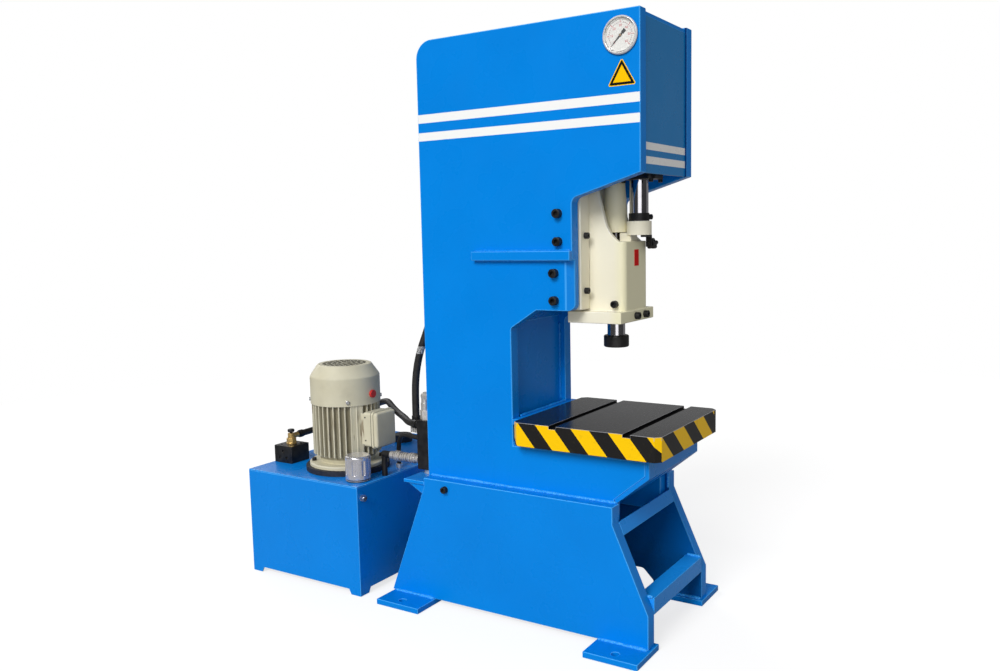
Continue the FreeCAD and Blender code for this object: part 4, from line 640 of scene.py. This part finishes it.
def blackened_steel(name):
    """Oil-blacked steel, rubbed to grey along its edges."""
    metal = Finish(name, Specular_IOR_Level=0.45)
    wear = metal.spread(metal.noise(160, 4), 0.40, 0.62)
    stain = metal.noise(40, 3)
    dark = metal.mottled(stain, 0.35, 0.7, (0.012, 0.012, 0.013, 1), (0.030, 0.029, 0.028, 1))
    edge_sheen_and_wear = metal.edge() * wear * 0.7
    metal.lead("Base Color", metal.mixed(edge_sheen_and_wear, dark, (0.16, 0.15, 0.14, 1)))
    metal.lead("Metallic", metal.edge() * 0.4 + 0.35)
    metal.uneven_gloss(stain, 0.32, 0.48)
    metal.bump(metal.noise(380, 2), 0.12, 0.0003)
    return metal


finished_part("tool_shank", 0.0006, hard_chrome("shank_chrome"))
nut_y = -0.280
knurls = 90
knurl_rise = 170
nut_black = blackened_steel("nut_black")
around = nut_black.node("Mapping", {}, {"Vector": nut_black.place(), "Location": (0, -nut_y, 0)})
angle = nut_black.node("TexGradient", {"gradient_type": "RADIAL"}, {"Vector": around}, out="Fac")
height = nut_black.axis("Z")
right_hand = abs((angle * knurls + height * knurl_rise) % 1 - 0.5)
left_hand = abs((angle * knurls - height * knurl_rise) % 1 - 0.5)
nut_black.bump((right_hand + left_hand) * height.within(0.951, 0.979), 0.55, 0.0006)
finished_part("tool_nut", 0.0014, nut_black)

# ---- cylinder ----------------------------------------------------------------------------------
# Cast and turned iron barrel that widens to a rim at its foot, bolted under the head by a square
# flange and painted like the housing. The chromed piston rod is screwed into the slide's deck.
cylinder_cream = cream_enamel("cylinder_cream")
# painted light: the barrel's cream is made paler and yellower than the housing's
warm = cylinder_cream.mixed(0.7, cylinder_cream.colour, (1.0, 0.94, 0.64, 1))
cylinder_cream.lead("Base Color", warm)
finished_part("main_cylinder", 0.0016, cylinder_cream)


def fitted_finish(node, finish):
    """Gives a CAD part that is left as it is its finish."""
    for place in parts[node].material_slots:
        place.material = finish.material


# painted shade: the piston rod's chrome is made very dark under the cylinder
fitted_finish("piston_rod", hard_chrome("piston_chrome", shine=0.16))

# ---- guide rod with its bush, ring and collar --------------------------------------------------
# Chromed rod through a black flanged bush, held at its foot by a cream ring with an arm on the
# deck and a black strap. A black collar with turned lines sits on the ring, and a plastic star
# knob clamps the lug.
finished_part("guide_rod", 0.0006, hard_chrome("rod_chrome", (1, 1, 45), 0.06))
finished_part("rod_bush", 0.0012, blackened_steel("bush_black"))
ring_cream = cream_enamel("ring_cream")
x, y, z = ring_cream.axes()
strap = (y < -0.3685) * (z < 1.3199) * ((x > 0.0415) + (z > 1.3128)).limited()
black_strap = ring_cream.mixed(strap, ring_cream.colour, (0.016, 0.016, 0.017, 1))
ring_cream.lead("Base Color", black_strap)
finished_part("stroke_arm", 0.0014, ring_cream)

collar_black = blackened_steel("collar_black")
height = collar_black.axis("Z")
line_pitch = 0.0058
lines = ((height - 1.3665) / line_pitch % 1) < 0.30
collar_black.bump(lines * height.within(1.3685, 1.3905), 0.8, 0.0009)
rod_axis = Vector((0, -0.365, 0))
screw_turn = (Matrix.Translation(rod_axis) @ Matrix.Rotation(math.radians(-47), 4, "Z")
              @ Matrix.Translation(-rod_axis))
finished_part("rod_collar", 0.0009, collar_black, turn=screw_turn)


def moulded_plastic(name, colour, lighter, roughness=0.38):
    """Moulded plastic with a fine grain and a painted highlight on its edges."""
    plastic = Finish(name, Specular_IOR_Level=0.5)
    mottle = plastic.noise(90, 3)
    tone = plastic.mottled(mottle, 0.3, 0.75, colour, lighter)
    # painted highlight: the edges are painted lighter
    edge_sheen = tuple(min(1, 2.2 * c) for c in lighter)
    plastic.lead("Base Color", plastic.mixed(plastic.edge() * 0.35, tone, edge_sheen))
    plastic.uneven_gloss(mottle, roughness, roughness + 0.10)
    plastic.bump(plastic.noise(600, 2), 0.12, 0.0002)
    return plastic


knob_plastic = moulded_plastic("knob_plastic", (0.012, 0.012, 0.013, 1), (0.022, 0.022, 0.023, 1))
finished_part("clamp_knob", 0.0016, knob_plastic)

# ---- socket screws -----------------------------------------------------------------------------
# Oil-blacked cap screws with knurled heads. They clamp the nose, the gibs, the base, the bush,
# the table and the motor; four more hold the foot of the slide and one the collar. Those of the
# cowl and the plug of the tank are zinc plated.
motor_x = -0.125
motor_y = 0.845
flange_ring = 0.1325
cowl_ring = 0.137
quarters = [math.radians(turn) for turn in (45, 135, 225, 315)]
screw_black = blackened_steel("screw_black")


def add_cylinder(shape, radius, length, middle, sides):
    """Adds an upright cylinder to a bmesh, its middle at a height."""
    round_bar = bmesh.ops.create_cone(shape, cap_ends=True, segments=sides, radius1=radius,
                                      radius2=radius, depth=length)
    bmesh.ops.translate(shape, verts=round_bar["verts"], vec=(0, 0, middle))


def push_face(shape, face, move):
    """Moves a face of a bmesh away on new walls."""
    pushed = bmesh.ops.extrude_face_region(shape, geom=[face])
    moved = [v for v in pushed["geom"] if isinstance(v, bmesh.types.BMVert)]
    bmesh.ops.delete(shape, geom=[face], context="FACES_ONLY")
    bmesh.ops.translate(shape, verts=moved, vec=move)


def cap_screw(shape, seat, out, radius, shank, tall=2.0):
    """Cap screw whose head stands out from the seat; the shank runs the other way."""
    head = radius * 1.5
    height = radius * tall
    key = radius * 0.85
    screw = bmesh.new()
    add_cylinder(screw, head * 0.985, height, height / 2, 48)
    top = [f for f in screw.faces if f.normal.z > 0.5]
    rounded(screw, list(top[0].edges), radius * 0.16, 2)
    flank = [f for f in screw.faces if abs(f.normal.z) < 0.1]
    bmesh.ops.inset_individual(screw, faces=flank, thickness=head * 0.022, depth=-head * 0.03)
    top = max(screw.faces, key=lambda f: f.calc_center_median().z)
    bmesh.ops.inset_region(screw, faces=[top], thickness=head * 0.36, depth=0)
    for vert in top.verts:
        angle = math.atan2(vert.co.y, vert.co.x)
        flat = (angle + math.pi / 6) % (math.pi / 3) - math.pi / 6
        reach = key * math.cos(math.pi / 6) / math.cos(flat)
        vert.co.x = math.cos(angle) * reach
        vert.co.y = math.sin(angle) * reach
    push_face(screw, top, (0, 0, -height / 2))
    add_cylinder(screw, radius * 0.98, shank, -shank / 2, 20)
    stand = Matrix.Translation(seat) @ Vector(out).to_track_quat("Z", "Y").to_matrix().to_4x4()
    bmesh.ops.transform(screw, matrix=stand, verts=screw.verts)
    bmesh.ops.recalc_face_normals(screw, faces=screw.faces)
    join(shape, screw)


screws = bmesh.new()
for side in (-1, 1):
    out = (side, 0, 0)
    for y, z in ((-0.178, 1.395), (-0.178, 1.305), (-0.162, 1.203), (-0.162, 1.114)):
        cap_screw(screws, (side * column_face, y, z), out, 0.010, 0.080)
    cap_screw(screws, (side * base_face, 0.268, 0.436), out, 0.008, 0.080)
    for z in (1.322, 1.142):
        cap_screw(screws, (side * 0.1275, -0.230, z), frontward, 0.007, 0.045)
    for y in (-0.328, -0.424):
        cap_screw(screws, (side * 0.039, y, 1.500), (0, 0, -1), 0.005, 0.028)
    for y in (-0.110, -0.360):
        cap_screw(screws, (side * 0.120, y, 0.613), (0, 0, -1), 0.010, 0.040)
for turn in quarters:
    x = motor_x + flange_ring * math.cos(turn)
    y = motor_y + flange_ring * math.sin(turn)
    cap_screw(screws, (x, y, 0.453), upward, 0.006, 0.038)
show("frame_screws", screws, screw_black, "press", ["frame_bolts"], smooth=24)

screws = bmesh.new()
for x in (-0.016, 0.055):
    cap_screw(screws, (x, -0.359, 1.054), frontward, 0.008, 0.029)
for side in (-1, 1):
    cap_screw(screws, (side * 0.094, -0.322, 1.097), (side, 0, 0), 0.008, 0.029)
show("foot_screws", screws, screw_black, "slide", ["slide_screws"], smooth=24)
screws = bmesh.new()
out = screw_turn.to_3x3() @ Vector((1, 0, 0))
cap_screw(screws, rod_axis + out * 0.0335 + Vector((0, 0, 1.379)), out, 0.006, 0.004)
show("collar_screw", screws, screw_black, body_of["rod_collar"], smooth=24)

zinc = Finish("zinc_plate", Metallic=1.0)
haze = zinc.noise(300, 3)
zinc.lead("Base Color", zinc.mottled(haze, 0.3, 0.7, (0.55, 0.56, 0.58, 1), (0.72, 0.72, 0.72, 1)))
zinc.uneven_gloss(haze, 0.22, 0.36)
screws = bmesh.new()
for turn in quarters:
    out = (math.cos(turn), math.sin(turn), 0)
    seat = (motor_x + cowl_ring * out[0], motor_y + cowl_ring * out[1], 0.702)
    cap_screw(screws, seat, out, 0.005, 0.0026, 1.1)
cap_screw(screws, (-0.318, 0.608, 0.372), frontward, 0.008, 0.005)
show("bright_screws", screws, zinc, "press", ["plated_screws"], smooth=24)

# ---- pressure gauge ----------------------------------------------------------------------------
# Panel gauge in the left side plate: bright bezel, enamelled dial with plain numbers from 0 to 60,
# black pointer and a flat glass.
gauge_centre = (-0.401, 1.922)
print_face = -0.21325

bezel = Finish("bezel_steel", Metallic=0.20)
reach = bezel.from_line("YZ", gauge_centre)
smear = bezel.noise(45, 3)
steel = bezel.mottled(smear, 0.35, 0.7, (0.80, 0.79, 0.79, 1), (0.68, 0.67, 0.68, 1))
steel = bezel.mixed(reach < 0.0522, steel, (0.86, 0.85, 0.83, 1))
shadow_gap = (reach > 0.0562) * (bezel.axis("X") > -0.2150)
bezel.lead("Base Color", bezel.mixed(shadow_gap, steel, (0.02, 0.02, 0.025, 1)))
bezel.uneven_gloss(smear, 0.14, 0.24)
bezel.bump(bezel.noise(500, 2), 0.05, 0.0001)
finished_part("gauge_case", 0.0006, bezel)

enamel = Finish("dial_enamel", Specular_IOR_Level=0.4)
reach = enamel.from_line("YZ", gauge_centre)
cloud = enamel.noise(120, 3)
white = enamel.mottled(cloud, 0.3, 0.7, (0.80, 0.79, 0.75, 1), (0.86, 0.85, 0.81, 1))
scale_line = reach.within(0.0374, 0.0382) * ((enamel.axis("Z") - gauge_centre[1]) > -0.0265)
enamel.lead("Base Color", enamel.mixed(scale_line, white, (0.42, 0.20, 0.23, 1)))
enamel.uneven_gloss(cloud, 0.40, 0.50)
finished_part("gauge_dial", 0.0002, enamel)


def dial_print(name, finish, piece):
    """Puts flat printing, drawn upright about the middle of the dial, just over its enamel."""
    y, z = gauge_centre
    upright = Matrix(((0, 0, -1, print_face), (-1, 0, 0, y), (0, 1, 0, z), (0, 0, 0, 1)))
    bmesh.ops.transform(piece, matrix=upright, verts=piece.verts)
    bmesh.ops.recalc_face_normals(piece, faces=piece.faces)
    show(name, piece, finish, "press")


def printing_ink(name, colour, lighter):
    """Flat printing ink, slightly uneven."""
    made = Finish(name, Roughness=0.5)
    made.lead("Base Color", made.mottled(made.noise(260, 3), 0.3, 0.7, colour, lighter))
    return made


ink = printing_ink("dial_ink", (0.02, 0.02, 0.02, 1), (0.05, 0.05, 0.05, 1))
red_ink = printing_ink("dial_red_ink", (0.55, 0.020, 0.035, 1), (0.66, 0.06, 0.08, 1))
zero_turn = 225
sweep = 270
fine_steps = 30
number_steps = 6
mark_ring = 0.0366
number_ring = 0.0288
fine_marks = bmesh.new()
long_marks = bmesh.new()
for step in range(fine_steps + 1):
    if step % 5 == 0:
        marks, length, width = long_marks, 0.0085, 0.0014
    else:
        marks, length, width = fine_marks, 0.0036, 0.0006
    turn = math.radians(zero_turn - step * sweep / fine_steps)
    mark = add_box(marks, (length, width, 0.0001), (mark_ring + length / 2, 0, 0))
    bmesh.ops.rotate(marks, verts=mark, matrix=Matrix.Rotation(turn, 3, "Z"))
dial_print("dial_fine_marks", ink, fine_marks)
dial_print("dial_long_marks", red_ink, long_marks)

numbers = bmesh.new()
for step in range(number_steps + 1):
    turn = math.radians(zero_turn - step * sweep / number_steps)
    text = bpy.data.curves.new("number", "FONT")
    text.body = str(step * 10)
    text.size = 0.0105
    text.align_x = "CENTER"
    text.align_y = "CENTER"
    text.extrude = 0.00005
    text.resolution_u = 3
    drawn = bpy.data.objects.new("number", text)
    scene.collection.objects.link(drawn)
    evaluated = drawn.evaluated_get(bpy.context.evaluated_depsgraph_get())
    flat = bpy.data.meshes.new_from_object(evaluated)
    bpy.data.objects.remove(drawn)
    figure = bmesh.new()
    figure.from_mesh(flat)
    bpy.data.meshes.remove(flat)
    bmesh.ops.remove_doubles(figure, verts=figure.verts, dist=0.000005)
    place = (number_ring * math.cos(turn), number_ring * math.sin(turn), 0)
    bmesh.ops.translate(figure, verts=figure.verts, vec=place)
    join(numbers, figure)
dial_print("dial_numbers", red_ink, numbers)

pointer_black = Finish("pointer_black", Specular_IOR_Level=0.2)
reach = pointer_black.from_line("YZ", gauge_centre)
brushed = pointer_black.noise(400, 3)
dark = pointer_black.mottled(brushed, 0.3, 0.7,
                             (0.005, 0.005, 0.005, 1), (0.010, 0.010, 0.010, 1))
pointer_black.lead("Base Color", pointer_black.mixed(reach < 0.0030, dark, (0.36, 0.22, 0.10, 1)))
pointer_black.uneven_gloss(brushed, 0.45, 0.60)
finished_part("gauge_pointer", 0.0001, pointer_black)
balance = bmesh.new()
add_box(balance, (0.0011, 0.0100, 0.0125), (0, 0, 0.0155))
eighth = Matrix.Rotation(math.radians(45), 3, "X")
bmesh.ops.rotate(balance, verts=balance.verts, matrix=eighth)
bmesh.ops.translate(balance, verts=balance.verts, vec=(-0.2139, *gauge_centre))
break_edges(balance, 0.0002)
show("pointer_balance", balance, pointer_black, "pointer")

glass = Finish("gauge_glass", Roughness=0.03, Alpha=0.05, Specular_IOR_Level=0.5)
dust = glass.noise(140, 4)
dust_and_shade = glass.mottled(dust, 0.4, 0.7, (0.90, 0.93, 0.95, 1), (0.80, 0.82, 0.84, 1))
glass.lead("Base Color", dust_and_shade)
finished_part("gauge_glass", 0.0004, glass)

# ---- oil tank ----------------------------------------------------------------------------------
# Folded and welded sheet steel on corner feet, under a lid of thicker sheet.
# Gloss blue like the frame, with faint stains on the lid near the manifold.
tank_blue = blue_enamel("tank_blue")
finished_part("oil_tank", 0.0016, tank_blue)
lid_blue = blue_enamel("lid_blue", 0.30)
x, y = lid_blue.axes("XY")
near_manifold = lid_blue.spread(y, 0.78, 0.66) * lid_blue.spread(x, -0.16, -0.08)
stains = lid_blue.spread(lid_blue.noise(17, 4), 0.56, 0.64) * near_manifold
stained = lid_blue.mixed(stains * 0.45, lid_blue.colour, (0.22, 0.34, 0.48, 1))
lid_blue.lead("Base Color", stained)
finished_part("tank_lid", 0.0016, lid_blue)

# ---- motor -------------------------------------------------------------------------------------
# Flange motor standing on a rubber ring: finned iron frame in pale grey, a sheet cowl over the fan
# with a grille in its top, a terminal box on the front and a red plug above it.
def motor_enamel(name, waves):
    """Pale warm grey paint; waves sets how far the surface rolls under it."""
    paint = Finish(name, Specular_IOR_Level=0.25)
    cloud = paint.noise(11, 4)
    body = paint.mottled(cloud, 0.3, 0.7, (0.600, 0.560, 0.410, 1), (0.650, 0.615, 0.465, 1))
    grime = paint.spread(paint.noise(16, 3), 0.50, 0.85)
    body = paint.mixed(grime * 0.30, body, (0.42, 0.39, 0.30, 1))
    # painted highlight: the rounded edges turn a paler grey
    paint.colour = paint.mixed(paint.edge() * 0.4, body, (0.78, 0.75, 0.64, 1))
    paint.lead("Base Color", paint.colour)
    paint.uneven_gloss(cloud, 0.42, 0.52)
    paint.bump(paint.noise(150, 3) * waves + paint.noise(480, 2) * 0.4, 0.14, 0.0006)
    return paint


rubber = Finish("seal_rubber", Specular_IOR_Level=0.35)
bloom = rubber.noise(70, 4)
dull = rubber.mottled(bloom, 0.35, 0.75, (0.014, 0.016, 0.024, 1), (0.030, 0.033, 0.044, 1))
rubber.lead("Base Color", dull)
rubber.uneven_gloss(bloom, 0.58, 0.72)
rubber.bump(rubber.noise(500, 2), 0.15, 0.0003)
finished_part("motor_seal_ring", 0.0012, rubber)
frame_grey = motor_enamel("frame_grey", 2.5)
from_axis = frame_grey.from_line("XY", (motor_x, motor_y))
finned = frame_grey.axis("Z").within(0.470, 0.700)
# painted shade: the gaps between the fins turn darker towards the frame
gaps = frame_grey.spread(from_axis, 0.1335, 0.1195) * finned
dust_and_shade = frame_grey.mixed(gaps * 0.75, frame_grey.colour, (0.20, 0.175, 0.110, 1))
streaks = frame_grey.spread(frame_grey.noise(75, 4, (1, 1, 0.10)), 0.60, 0.68) * finned
frame_grey.lead("Base Color", frame_grey.mixed(streaks * 0.7, dust_and_shade, (0.13, 0.075, 0.035, 1)))
finished_part("motor_frame", 0.0009, frame_grey)

cowl_grey = motor_enamel("cowl_grey", 0.5)
from_axis = cowl_grey.from_line("XY", (motor_x, motor_y))
# painted shade: inside the grille the top turns darker and everything below it black
grille = (from_axis < 0.0872) * (cowl_grey.axis("Z") < 0.8376)
dust_and_shade = cowl_grey.mixed((from_axis < 0.0830) * 0.45, cowl_grey.colour, (0.10, 0.09, 0.06, 1))
cowl_grey.lead("Base Color", cowl_grey.mixed(grille, dust_and_shade, (0.006, 0.006, 0.006, 1)))
finished_part("fan_cowl", 0.0004, cowl_grey)
fan_plastic = moulded_plastic("fan_plastic", (0.010, 0.010, 0.010, 1), (0.020, 0.020, 0.020, 1))
fitted_finish("cooling_fan", fan_plastic)

turned_steel = Finish("turned_steel", Metallic=0.9)
lines = turned_steel.noise(20, 3, (1, 1, 40))
turned = turned_steel.mottled(lines, 0.3, 0.7, (0.42, 0.41, 0.39, 1), (0.60, 0.59, 0.56, 1))
turned_steel.lead("Base Color", turned)
turned_steel.uneven_gloss(lines, 0.26, 0.40)
turned_steel.bump(lines, 0.10, 0.0002)
for node in ("motor_shaft", "motor_bearings", "gear_pump", "suction_strainer"):
    fitted_finish(node, turned_steel)

red_cap = moulded_plastic("red_plastic", (0.50, 0.012, 0.012, 1), (0.64, 0.030, 0.026, 1), 0.30)
finished_part("red_plug", 0.0010, red_cap)

# ---- terminal box ------------------------------------------------------------------------------
# Cast box on the front of the motor, held by small black screws. Its lid has a flat rim over a thin
# black gasket and a raised, well rounded face.
box_grey = motor_enamel("box_grey", 1.2)
finished_part("terminal_box", 0.0008, box_grey)
screws = bmesh.new()
for height in (0.551, 0.641):
    cap_screw(screws, (-0.181, 0.699, height), (-1, 0, 0), 0.0018, 0.004, 1.2)
show("box_screws", screws, screw_black, "press", smooth=24)

lid_grey = motor_enamel("lid_grey", 1.2)
gasket = lid_grey.axis("Y") > 0.6648
lid_grey.lead("Base Color", lid_grey.mixed(gasket, lid_grey.colour, (0.012, 0.012, 0.012, 1)))


def foremost(shape):
    """The face of a bmesh that lies furthest to the front."""
    return min(shape.faces, key=lambda f: f.calc_center_median().y)


low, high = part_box("terminal_lid")
rim = 0.011
lid = bmesh.new()
add_box(lid, (high[0] - low[0], rim, high[2] - low[2]),
        ((low[0] + high[0]) / 2, high[1] - rim / 2, (low[2] + high[2]) / 2))
corners = [e for e in lid.edges if abs((e.verts[0].co - e.verts[1].co).y) > rim * 0.9]
rounded(lid, corners, 0.015, 7)
rounded(lid, list(foremost(lid).edges), 0.0015, 2)
front = foremost(lid)
bmesh.ops.inset_region(lid, faces=[front], thickness=0.0035)
push_face(lid, front, (0, low[1] - (high[1] - rim), 0))
rounded(lid, list(foremost(lid).edges), 0.0085, 5)
bmesh.ops.recalc_face_normals(lid, faces=lid.faces)
show("terminal_cover", lid, lid_grey, body_of["terminal_lid"],
     ["terminal_lid"], 40)

# ---- breather and return filter ----------------------------------------------------------------
# Chromed filler breather with eight flutes on a black gasket, and the black screw cap of the
# return filter behind the motor.
bright = Finish("breather_chrome", Metallic=0.75)
haze = bright.noise(60, 3)
shine = bright.mottled(haze, 0.3, 0.75, (0.84, 0.83, 0.87, 1), (0.72, 0.71, 0.75, 1))
bright.lead("Base Color", shine)
bright.uneven_gloss(haze, 0.18, 0.26)
finished_part("breather_cap", 0.0005, bright)

flange_chrome = Finish("breather_flange", Metallic=0.6)
haze = flange_chrome.noise(60, 3)
metal = flange_chrome.mottled(haze, 0.3, 0.75, (0.70, 0.69, 0.70, 1), (0.58, 0.57, 0.58, 1))
gasket = flange_chrome.axis("Z") < 0.4222
flange_chrome.lead("Base Color", flange_chrome.mixed(gasket, metal, (0.012, 0.012, 0.012, 1)))
flange_chrome.uneven_gloss(haze, 0.16, 0.30)
finished_part("breather_base", 0.0004, flange_chrome)
filter_black = moulded_plastic("filter_black", (0.014, 0.014, 0.015, 1), (0.026, 0.026, 0.027, 1))
finished_part("return_filter", 0.0012, filter_black)

# ---- relief valve ------------------------------------------------------------------------------
# Blacked steel block on the lid with a brass hexagon fitting and a small black knob on top.
finished_part("valve_block", 0.0012, blackened_steel("valve_black"))
brass = Finish("brass", Metallic=0.7)
tarnish = brass.noise(90, 4)
dulled = brass.mottled(tarnish, 0.35, 0.75, (0.78, 0.54, 0.20, 1), (0.46, 0.30, 0.11, 1))
brass.lead("Base Color", dulled)
brass.uneven_gloss(tarnish, 0.24, 0.42)
brass.bump(brass.noise(260, 3), 0.08, 0.0002)
finished_part("relief_fitting", 0.0009, brass)
relief_black = moulded_plastic("relief_plastic", (0.012, 0.012, 0.013, 1), (0.022, 0.022, 0.023, 1))
finished_part("relief_knob", 0.0008, relief_black)

# ---- manifold ----------------------------------------------------------------------------------
# Blacked steel block behind the column on a short steel post, with a nut and elbow on top, a
# three-piece union in the pressure line and small adapters for the hoses.
finished_part("manifold_block", 0.0010, blackened_steel("manifold_black"))
grooves_per_metre = 95
plated = Finish("plated_fittings", Metallic=0.75)
spots = plated.noise(75, 4)
y = plated.axis("Y")
grooves = ((y * grooves_per_metre) % 1 < 0.24) * y.within(0.462, 0.575)
metal = plated.mottled(spots, 0.35, 0.75, (0.82, 0.80, 0.77, 1), (0.62, 0.58, 0.53, 1))
plated.lead("Base Color", plated.mixed(grooves * 0.8, metal, (0.10, 0.09, 0.08, 1)))
plated.uneven_gloss(spots, 0.34, 0.46)
plated.bump(grooves * -1, 0.5, 0.0006)
finished_part("manifold_fittings", 0.0003, plated)

# ---- hoses -------------------------------------------------------------------------------------
# Three rubber hoses: the stout lift line up the back of the column, the relief line that arches
# over the tank lid to the manifold, and the thin return line. Crimped fittings hold their ends.
lift_route = (
    (-0.112, 0.504, 0.654), (-0.112, 0.504, 0.716), (-0.112, 0.502, 0.780), (-0.111, 0.493, 0.842),
    (-0.109, 0.477, 0.902), (-0.105, 0.455, 0.958), (-0.102, 0.433, 1.014), (-0.100, 0.415, 1.072),
    (-0.100, 0.415, 1.132),
)
relief_route = (
    (-0.096, 1.122, 0.521), (-0.044, 1.122, 0.521), (0.008, 1.118, 0.526), (0.056, 1.100, 0.537),
    (0.092, 1.066, 0.552), (0.114, 1.020, 0.571), (0.120, 0.968, 0.593), (0.114, 0.914, 0.616),
    (0.098, 0.862, 0.637), (0.074, 0.812, 0.653), (0.042, 0.766, 0.661), (0.006, 0.718, 0.651),
    (-0.024, 0.670, 0.640), (-0.054, 0.622, 0.634), (-0.088, 0.578, 0.634), (-0.120, 0.544, 0.635),
    (-0.146, 0.512, 0.634), (-0.156, 0.480, 0.634),
)
return_route = (
    (-0.044, 0.650, 0.464), (-0.044, 0.650, 0.492), (-0.050, 0.642, 0.522), (-0.064, 0.622, 0.548),
    (-0.084, 0.594, 0.565), (-0.104, 0.562, 0.573), (-0.122, 0.526, 0.575), (-0.130, 0.480, 0.575),
)
hose_rubber = Finish("hose_rubber", Specular_IOR_Level=0.4)
bloom = hose_rubber.noise(60, 4)
black = hose_rubber.mottled(bloom, 0.35, 0.75, (0.014, 0.013, 0.013, 1), (0.030, 0.028, 0.027, 1))
x, y, z = hose_rubber.axes()
pale_band = z.within(0.893, 0.921) * y.within(0.455, 0.490) * (x < -0.106)
print_wear = hose_rubber.spread(hose_rubber.noise(330, 2), 0.42, 0.50)
banded = hose_rubber.mixed(pale_band * print_wear, black, (0.46, 0.46, 0.45, 1))
hose_rubber.lead("Base Color", banded)
hose_rubber.uneven_gloss(bloom, 0.46, 0.60)
hose_rubber.bump(hose_rubber.noise(420, 2), 0.12, 0.0003)
for name, radius, length, route in (("lift_hose", 0.014, 0.4915, lift_route),
                                    ("relief_hose", 0.013, 0.9021, relief_route),
                                    ("return_hose", 0.009, 0.2577, return_route)):
    curve = bpy.data.curves.new(name + "_tube", "CURVE")
    curve.dimensions = "3D"
    spline = curve.splines.new("NURBS")
    spline.points.add(len(route) - 1)
    for point, place in zip(spline.points, route):
        point.co = (*place, 1)
    spline.order_u = 3
    spline.use_endpoint_u = True
    spline.resolution_u = 8
    curve.bevel_depth = radius
    curve.bevel_resolution = 6
    curve.use_fill_caps = True
    curve.materials.append(hose_rubber.material)
    hose = bpy.data.objects.new(name + "_tube", curve)
    scene.collection.objects.link(hose)
    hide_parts(name)
    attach(hose, "press")
finished_part("hose_ends", 0.0007, blackened_steel("ferrule_black"))

low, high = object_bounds()
